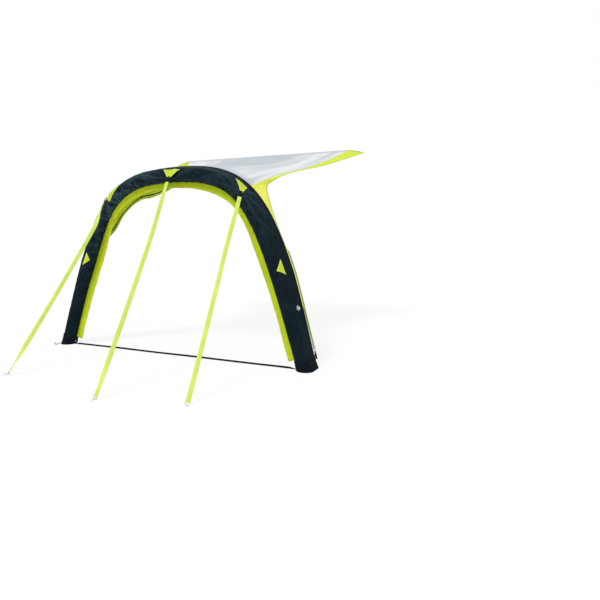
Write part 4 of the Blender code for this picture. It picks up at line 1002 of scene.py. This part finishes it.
def build_wing(prefix, side):
    """A side wing, the hem on its free edge and the black tape on its inner face."""
    columns, rows = 16, LEG_STEPS + ROOF_STEPS
    sewn, free = wing_edges(side)

    def cloth(across, k, lift=0.0):
        near, far = sewn[k], free[k]
        up = (far - near).cross(run_at(sewn, k)).normalized() * side
        slack = sin(pi * across) * min(1, (far - near).length / 0.2)
        sink = 0.006 * folds(k / 26, across * 3.0, 60.0 + side, 2.4)
        sink += 0.004 * (0.5 + 0.5 * ripple(k / 14, across * 2.5, 70.0))
        return near.lerp(far, across) + up * (lift - slack * sink)

    length = length_of(sewn)
    bm = grid(columns, rows, lambda u, v: cloth(u, round(v * rows)), (0.2, length))
    # The left wing shows its inner face, in shade: as painted shade it takes the flap's
    # darker lime, while the right wing's paler cloth is painted light coming through it
    wing = add_piece(
        bm, f"{prefix}_wing_cloth", "wing_polyester" if side > 0 else "lime_polyester",
        f"{prefix}_wing",
    )
    thicken(wing, CLOTH_WALL, 0)

    places, path, ups = [], [], []
    for k in range(rows + 1):
        run = run_at(free, k).normalized()
        across = free[k] - sewn[k]
        width = across.length
        across = (across - run * across.dot(run)).normalized()
        middle = free[k] + across * (HEM_GAP + HEM_WIDTH / 2)
        places.append((middle, across, run.cross(across)))
        # The right wing's tape stays beside the leg
        if width >= TAPE_LEAST_WIDTH and (side < 0 or k <= LEG_STEPS):
            share = 1 - TAPE_INSET / width
            path.append(cloth(share, k, -0.0025))
            ups.append(cloth(share, k, 1.0) - cloth(share, k))
    # The hem laps over the cloth's edge
    bm = strip(places, HEM_WIDTH + HEM_LAP, HEM_THICKNESS, length)
    hem = add_piece(
        bm, f"{prefix}_hem", "hem_polyester", f"{prefix}_wing_hem"
    )
    tape = band(
        f"{prefix}_wing_tape", path, ups, *WING_TAPE, "seam_tape", slot="black_webbing"
    )


def build_keder():
    """The keder: a tape folded round its cord, whose tail is sewn to the roof."""
    tip = RAIL_HALF + RAIL_END_RUN - 0.0006
    root = asin(KEDER_TAIL_WALL / 2 / KEDER_RADIUS)
    outline = [
        (-KEDER_TAIL, -KEDER_TAIL_WALL / 2),
        *arc(KEDER_RADIUS, root - pi, pi - root, 20),
        (-KEDER_TAIL, KEDER_TAIL_WALL / 2),
    ]
    places = [(Vector((x, 0, -rail_drop(x))), Y_AXIS, Z_AXIS) for x in spread(-tip, tip, 120)]
    add_piece(
        sweep(places, outline, 2 * tip), "keder", "keder_tape_pvc", "keder_tape",
        smooth=50,
    )
    refine("keder_cord", "keder_core", "keder_pvc", rounds=1)


# The feet

def build_boot(prefix, side):
    """The boot under a leg, with its bound top."""
    top = station_at_height(BOOT_HEIGHT, side)
    waist = station_at_height(BOOT_WAIST_HEIGHT, side)

    def around(station, across, scale=BOOT_SCALE):
        return station.skin(station.flank - station.girth * (across % 1.0), scale=scale)

    def place(across, along, sunk=True):
        high, angle = around(waist, across)
        if along <= 0.6:
            low = around(waist, across, BOOT_SCALE * BOOT_FLARE_SHARE)[0]
            point = slide(low, waist.along, GROUND_Z).lerp(high, along / 0.6)
        else:
            point = high.lerp(around(top, across)[0], (along - 0.6) / 0.4)
        if sunk:
            depth = 0.0013 * folds(across % 1.0 * 9, along * 3, 80.0 + side, 2.0)
            depth *= ease(along / 0.15) * ease((1 - along) / 0.15)
            point = point - waist.turn(angle) * depth
        return point

    bm = close_ends(grid(88, 24, place, (BOOT_GIRTH, BOOT_HEIGHT)), GROUND_Z + 0.001)
    boot = add_piece(bm, f"{prefix}_shoe", "boot_polyester", f"{prefix}_boot")
    thicken(boot, 0.0016)
    places = [
        (place(across, 0.93, False), top.along, top.turn(around(waist, across)[1]))
        for across in spread(0, 1, 88)
    ]
    bm = strip(places, *BOOT_BINDING, BOOT_GIRTH)
    add_piece(bm, f"{prefix}_boot_binding", "black_webbing")


def flat_uv(item, across, along):
    """A UV map in metres for a flat piece, from two directions."""
    mesh = item.data
    layer = mesh.uv_layers.new(name="UVMap")
    for loop in mesh.loops:
        point = mesh.vertices[loop.vertex_index].co
        layer.data[loop.index].uv = (point.dot(across), point.dot(along))


def build_tail(prefix, side):
    """The wing's tail strap, its ring and the boot's tab, each eye with its eyelet."""
    foot = Station(TAIL_STRAP_FOOT_SHARE, side)
    fin = foot.turn(FIN_ANGLE)
    normal = foot.turn(FIN_ANGLE - pi / 2)
    strap = refine(
        f"{prefix}_tail_strap", f"{prefix}_strap", "olive_webbing", edge=0.0004,
    )
    tab = refine(f"{prefix}_boot_tab", f"{prefix}_tab_loop", "black_webbing", edge=0.0004)
    for item in (strap, tab):
        flat_uv(item, fin, foot.along)
    refine(f"{prefix}_tail_ring", f"{prefix}_elastic_ring", "rubber", rounds=1)
    clearance = BUTT_GAP + foot.reach * (BOOT_SCALE - 1)
    eye = foot.fin_edge(clearance + TAIL_STRAP_WIDTH / 2)
    eye += foot.along * TAIL_HOLE_INSET
    for label, place in (("strap", eye), ("tab", eye - foot.along * TAIL_HOLES_APART)):
        for end, face in (("in", -1), ("out", 1)):
            build_eyelet(
                f"{prefix}_{label}_eyelet_{end}", place + normal * (face * EYELET_OFF),
                normal * face, fin,
            )


def build_eyelet(name, origin, normal, first):
    """An eyelet's flange, a flat ring with a rounded face."""
    bm = bmesh.new()
    inner, outer, height = EYELET
    middle, low = (inner + outer) / 2, height / 3
    profile = [(inner, 0), (outer, 0), (outer, low), (middle, height), (inner, low)]
    points = [bm.verts.new((radius, 0, up)) for radius, up in profile]
    edges = [bm.edges.new(pair) for pair in zip(points, points[1:] + points[:1])]
    bmesh.ops.spin(
        bm, geom=points + edges, cent=(0, 0, 0), axis=(0, 0, 1), angle=2 * pi,
        steps=36, use_merge=True,
    )
    first = (first - normal * first.dot(normal)).normalized()
    turn = Matrix((first, normal.cross(first), normal)).transposed().to_4x4()
    turn.translation = origin
    bmesh.ops.transform(bm, matrix=turn, verts=bm.verts)
    add_piece(bm, name, "coated_steel", smooth=50)


def build_ground_strap():
    """The webbing that ties the boots, turned up at both ends."""
    waist = station_at_height(BOOT_WAIST_HEIGHT)
    upper = waist.centre - waist.out * (TUBE_RADIUS * BOOT_SCALE)
    lower = waist.centre - waist.out * (TUBE_RADIUS * BOOT_SCALE * BOOT_FLARE_SHARE)
    lower = slide(lower, waist.along, GROUND_Z)
    rise = upper - lower
    along = Vector((rise.x, 0, rise.z)).normalized()
    inward = Vector((-along.z, 0, along.x))
    gap = STRAP_GAP + STRAP_THICKNESS / 2
    level = GROUND_Z + STRAP_LIFT + STRAP_THICKNESS / 2
    corner = slide(lower + inward * gap, along, level)
    path, ups = [], []
    for t in spread(1, 0.12, 8):
        point = corner + along * (STRAP_TURN_UP * t)
        path.append(Vector((point.x, FEET_Y, point.z)))
        ups.append(inward)
    half = corner.x - 0.004
    for x in spread(half, -half, 260):
        fade = ease((half - abs(x)) / 0.07)
        aside = 0.006 * ripple(x / 0.5, 3.0, 0.0) * fade
        # The pulled strap stands half on edge between the boots
        tilt = (0.85 + 0.25 * ripple(x / 0.4, 5.0, 0.0)) * fade
        lift = STRAP_WIDTH / 2 * sin(tilt)
        path.append(Vector((x, FEET_Y + aside, level + lift)))
        ups.append(Vector((0, -sin(tilt), cos(tilt))))
    for point, up in zip(path[8::-1], ups[8::-1]):
        path.append(Vector((-point.x, point.y, point.z)))
        ups.append(Vector((-up.x, up.y, up.z)))
    band(
        "foot_strap", path, ups, STRAP_WIDTH, WEBBING_THICKNESS, "black_webbing",
        "ground_strap",
    )


# The guys

def flip(path, axis):
    """Directions off a band whose width lies along an axis."""
    return [axis.cross(run_at(path, k)).normalized() for k in range(len(path))]


def build_guy(guy):
    """Loop, buckle, webbing, D-ring and peg of one guy."""
    name = guy.name
    bar_eye = hypot(BUCKLE_BAR, BUCKLE_THICKNESS) / 2 + EYE_CLEARANCE
    tail = LOOP_REACH + LOOP_OVERLAP
    upper = bar_eye + LOOP_THICKNESS / 2
    lower = bar_eye + EYE_WALL - 0.003 + LOOP_THICKNESS / 2
    points = [(-tail, upper), (-tail / 2, upper), (-0.006, upper)]
    points += arc(upper, pi / 2, -pi * 0.8, 9)
    points += [(-0.0095, lower), (-0.02, lower), (-tail, lower)]
    path = smooth_path([guy.at(x, y) for x, y in points], 60)
    band(
        f"{name}_loop", path, flip(path, guy.axis), LOOP_WIDTH, LOOP_THICKNESS,
        "black_webbing", f"{name}_guy_loop",
    )
    buckle = refine(f"{name}_guy_buckle", f"{name}_buckle", "acetal", guy.body, edge=0.0008)
    bar = 2 * (BUCKLE_BAR + BUCKLE_WINDOW)
    ring_bar = guy.length - D_RING_RADIUS / 2
    ring_eye = RING_WIRE_RADIUS + EYE_CLEARANCE
    for label, place, eye, way in (("top", bar, bar_eye, 1), ("low", ring_bar, ring_eye, -1)):
        bend = arc(eye + 0.0006, pi * 0.72, -pi * 0.72, 9)
        points = [(x, FOLD_OFF) for x in FOLD_RUNS]
        points += [(-x, y) for x, y in bend]
        points += [(x, -FOLD_OFF) for x in FOLD_RUNS[::-1]]
        path = smooth_path([guy.at(place + way * x, y) for x, y in points], 70)
        band(
                f"{name}_webbing_fold_{label}", path, flip(path, guy.axis),
                WEBBING_WIDTH, FOLD_THICKNESS, "lime_webbing", body=guy.body,
            )
    ring = refine(f"{name}_guy_ring", f"{name}_d_ring", "zinc_steel", guy.body, rounds=1)
    refine(f"{name}_guy_peg", f"{name}_peg", "zinc_steel", guy.body, rounds=1)
    start, end = bar + 0.0075, ring_bar - 0.0065
    path, ups = [], []
    for x in spread(start, end, 240):
        turn = guy.twist * ease((x - start - 0.03) / 0.3) * ease((end - 0.03 - x) / 0.3)
        part = (x - start) / (end - start)
        aside = guy.bow * ease(part / guy.bow_share) * (1 - part)
        sag = GUY_SAG * 4 * part * (1 - part)
        path.append(guy.at(x) + X_AXIS * aside - Z_AXIS * sag)
        ups.append(guy.normal * cos(turn) + guy.axis * sin(turn))
    webbing = band(
        f"{name}_webbing", path, ups, WEBBING_WIDTH, WEBBING_THICKNESS, "lime_webbing",
        f"{name}_guy_webbing", body=guy.body,
    )


# The valve

def build_valve():
    """The inflation valve and the patch welded round it."""
    for node, name, material, body, edge in (
        ("valve_body", "valve_seat", "valve_nylon", ROOT_BODY, 0.0004),
        ("valve_diaphragm", "valve_flap", "rubber", ROOT_BODY, 0.0002),
        ("valve_plunger", "valve_button", "acetal", "valve_plunger", 0.0003),
        ("valve_cap", "valve_lid", "valve_nylon", "valve_cap", 0.0005),
    ):
        refine(node, name, material, body, edge)
    middle = distance_of(VALVE_SHARE, 1)

    def place(across, along):
        turn = 2 * pi * across
        radius = VALVE_PATCH_RADIUS + VALVE_PATCH_WIDTH * along
        return sleeve_point(
            middle + radius * cos(turn), VALVE_RUN + radius * sin(turn), 0.0003
        )

    bm = grid(48, 4, place, (0.18, VALVE_PATCH_WIDTH))
    surround = add_piece(bm, "valve_surround", "black_webbing")
    thicken(surround, 0.0008, 1)


build_sleeve()
build_air_tube()
build_flap()
for guy in GUYS:
    if guy.side < 0:
        build_triangle("left_tab", "left_guy_tab", LEFT_TAB_SHARES, -1, LEFT_TAB_RISE)
    else:
        build_guy_tab(guy)
    build_guy(guy)
roof = build_roof()
build_keder()
for prefix, side in (("left", -1), ("right", 1)):
    build_wing(prefix, side)
    build_triangle(
        f"{prefix}_leg_triangle", f"{prefix}_leg_patch", LEG_PATCH_SHARES[side], side
    )
    build_boot(prefix, side)
    build_tail(prefix, side)
    refine(f"{prefix}_boot_loop", f"{prefix}_elastic_loop", "rubber", rounds=1)
    refine(
        f"{prefix}_boot_peg", f"{prefix}_foot_peg", "coated_steel", f"{prefix}_boot_peg",
        rounds=1,
    )
    refine(f"{prefix}_strap_eyelet", f"{prefix}_eyelet", "zinc_steel", edge=0.0002)
build_ground_strap()
build_valve()


# Floor, light and camera

def background_rays(add):
    """1 on the rays that show the background, and 0 on those that light pieces."""
    shown = add("LightPath", "Is Camera Ray")
    for kind in ("Is Glossy Ray", "Is Transmission Ray"):
        rays = add("LightPath", kind)
        shown = add("Math", 0, {0: shown, 1: rays}, operation="ADD", use_clamp=True)
    return shown


def build_stage():
    """A white floor that keeps the shadow, and a white surround that metal shows too."""
    bm = bmesh.new()
    bmesh.ops.create_grid(bm, x_segments=1, y_segments=1, size=40)
    bmesh.ops.translate(bm, verts=bm.verts, vec=(0, 0, GROUND_Z - 0.0005))
    mesh = bpy.data.meshes.new("floor")
    bm.to_mesh(mesh)
    bm.free()
    add_object("floor", mesh)
    material = bpy.data.materials.new("white_floor")
    material.use_nodes = True
    mesh.materials.append(material)
    tree = material.node_tree
    tree.nodes.remove(tree.nodes["Principled BSDF"])
    add = partial(add_node, tree)
    shown = background_rays(add)
    # The rest is paint, which takes the shadow
    share = add("Math", 0, {0: shown, 1: 0.78}, operation="MULTIPLY")
    paint = add("BsdfDiffuse", 0, {"Color": linear("#EDEDED")})
    glow = add("Emission", 0, {"Strength": 1.06})
    mixed = add("MixShader", 0, {0: share, 1: paint, 2: glow})
    set_inputs(tree.nodes["Material Output"], {"Surface": mixed})

    world = bpy.context.scene.world = bpy.data.worlds.new("studio")
    world.use_nodes = True
    add = partial(add_node, world.node_tree)
    shown = background_rays(add)
    strength = add("MapRange", 0, {"Value": shown, "To Min": 0.55, "To Max": 1.0})
    backdrop = world.node_tree.nodes["Background"]
    set_inputs(backdrop, {"Color": (1, 1, 1, 1), "Strength": strength})


def add_sun(name, azimuth, elevation, strength, softness):
    """A sun that shines from a bearing round the awning and a height, in degrees."""
    light = bpy.data.lights.new(name, "SUN")
    light.energy = strength
    light.angle = radians(softness)
    turned = (radians(90 - elevation), 0, radians(azimuth))
    add_object(name, light).rotation_euler = turned


build_stage()
add_sun("key", -20, 55, 1.35, 14)
add_sun("fill", 75, 25, 0.45, 30)

camera_data = bpy.data.cameras.new("camera")
camera_data.sensor_width = 36
camera_data.lens = 25.93
camera_data.clip_end = 200
camera = add_object("camera", camera_data)
camera.location = (2.7181, -5.7636, -1.1077)
camera.rotation_euler = (radians(81.497), 0, radians(20.739))
bpy.context.scene.camera = camera
bpy.context.scene.view_settings.view_transform = "Standard"
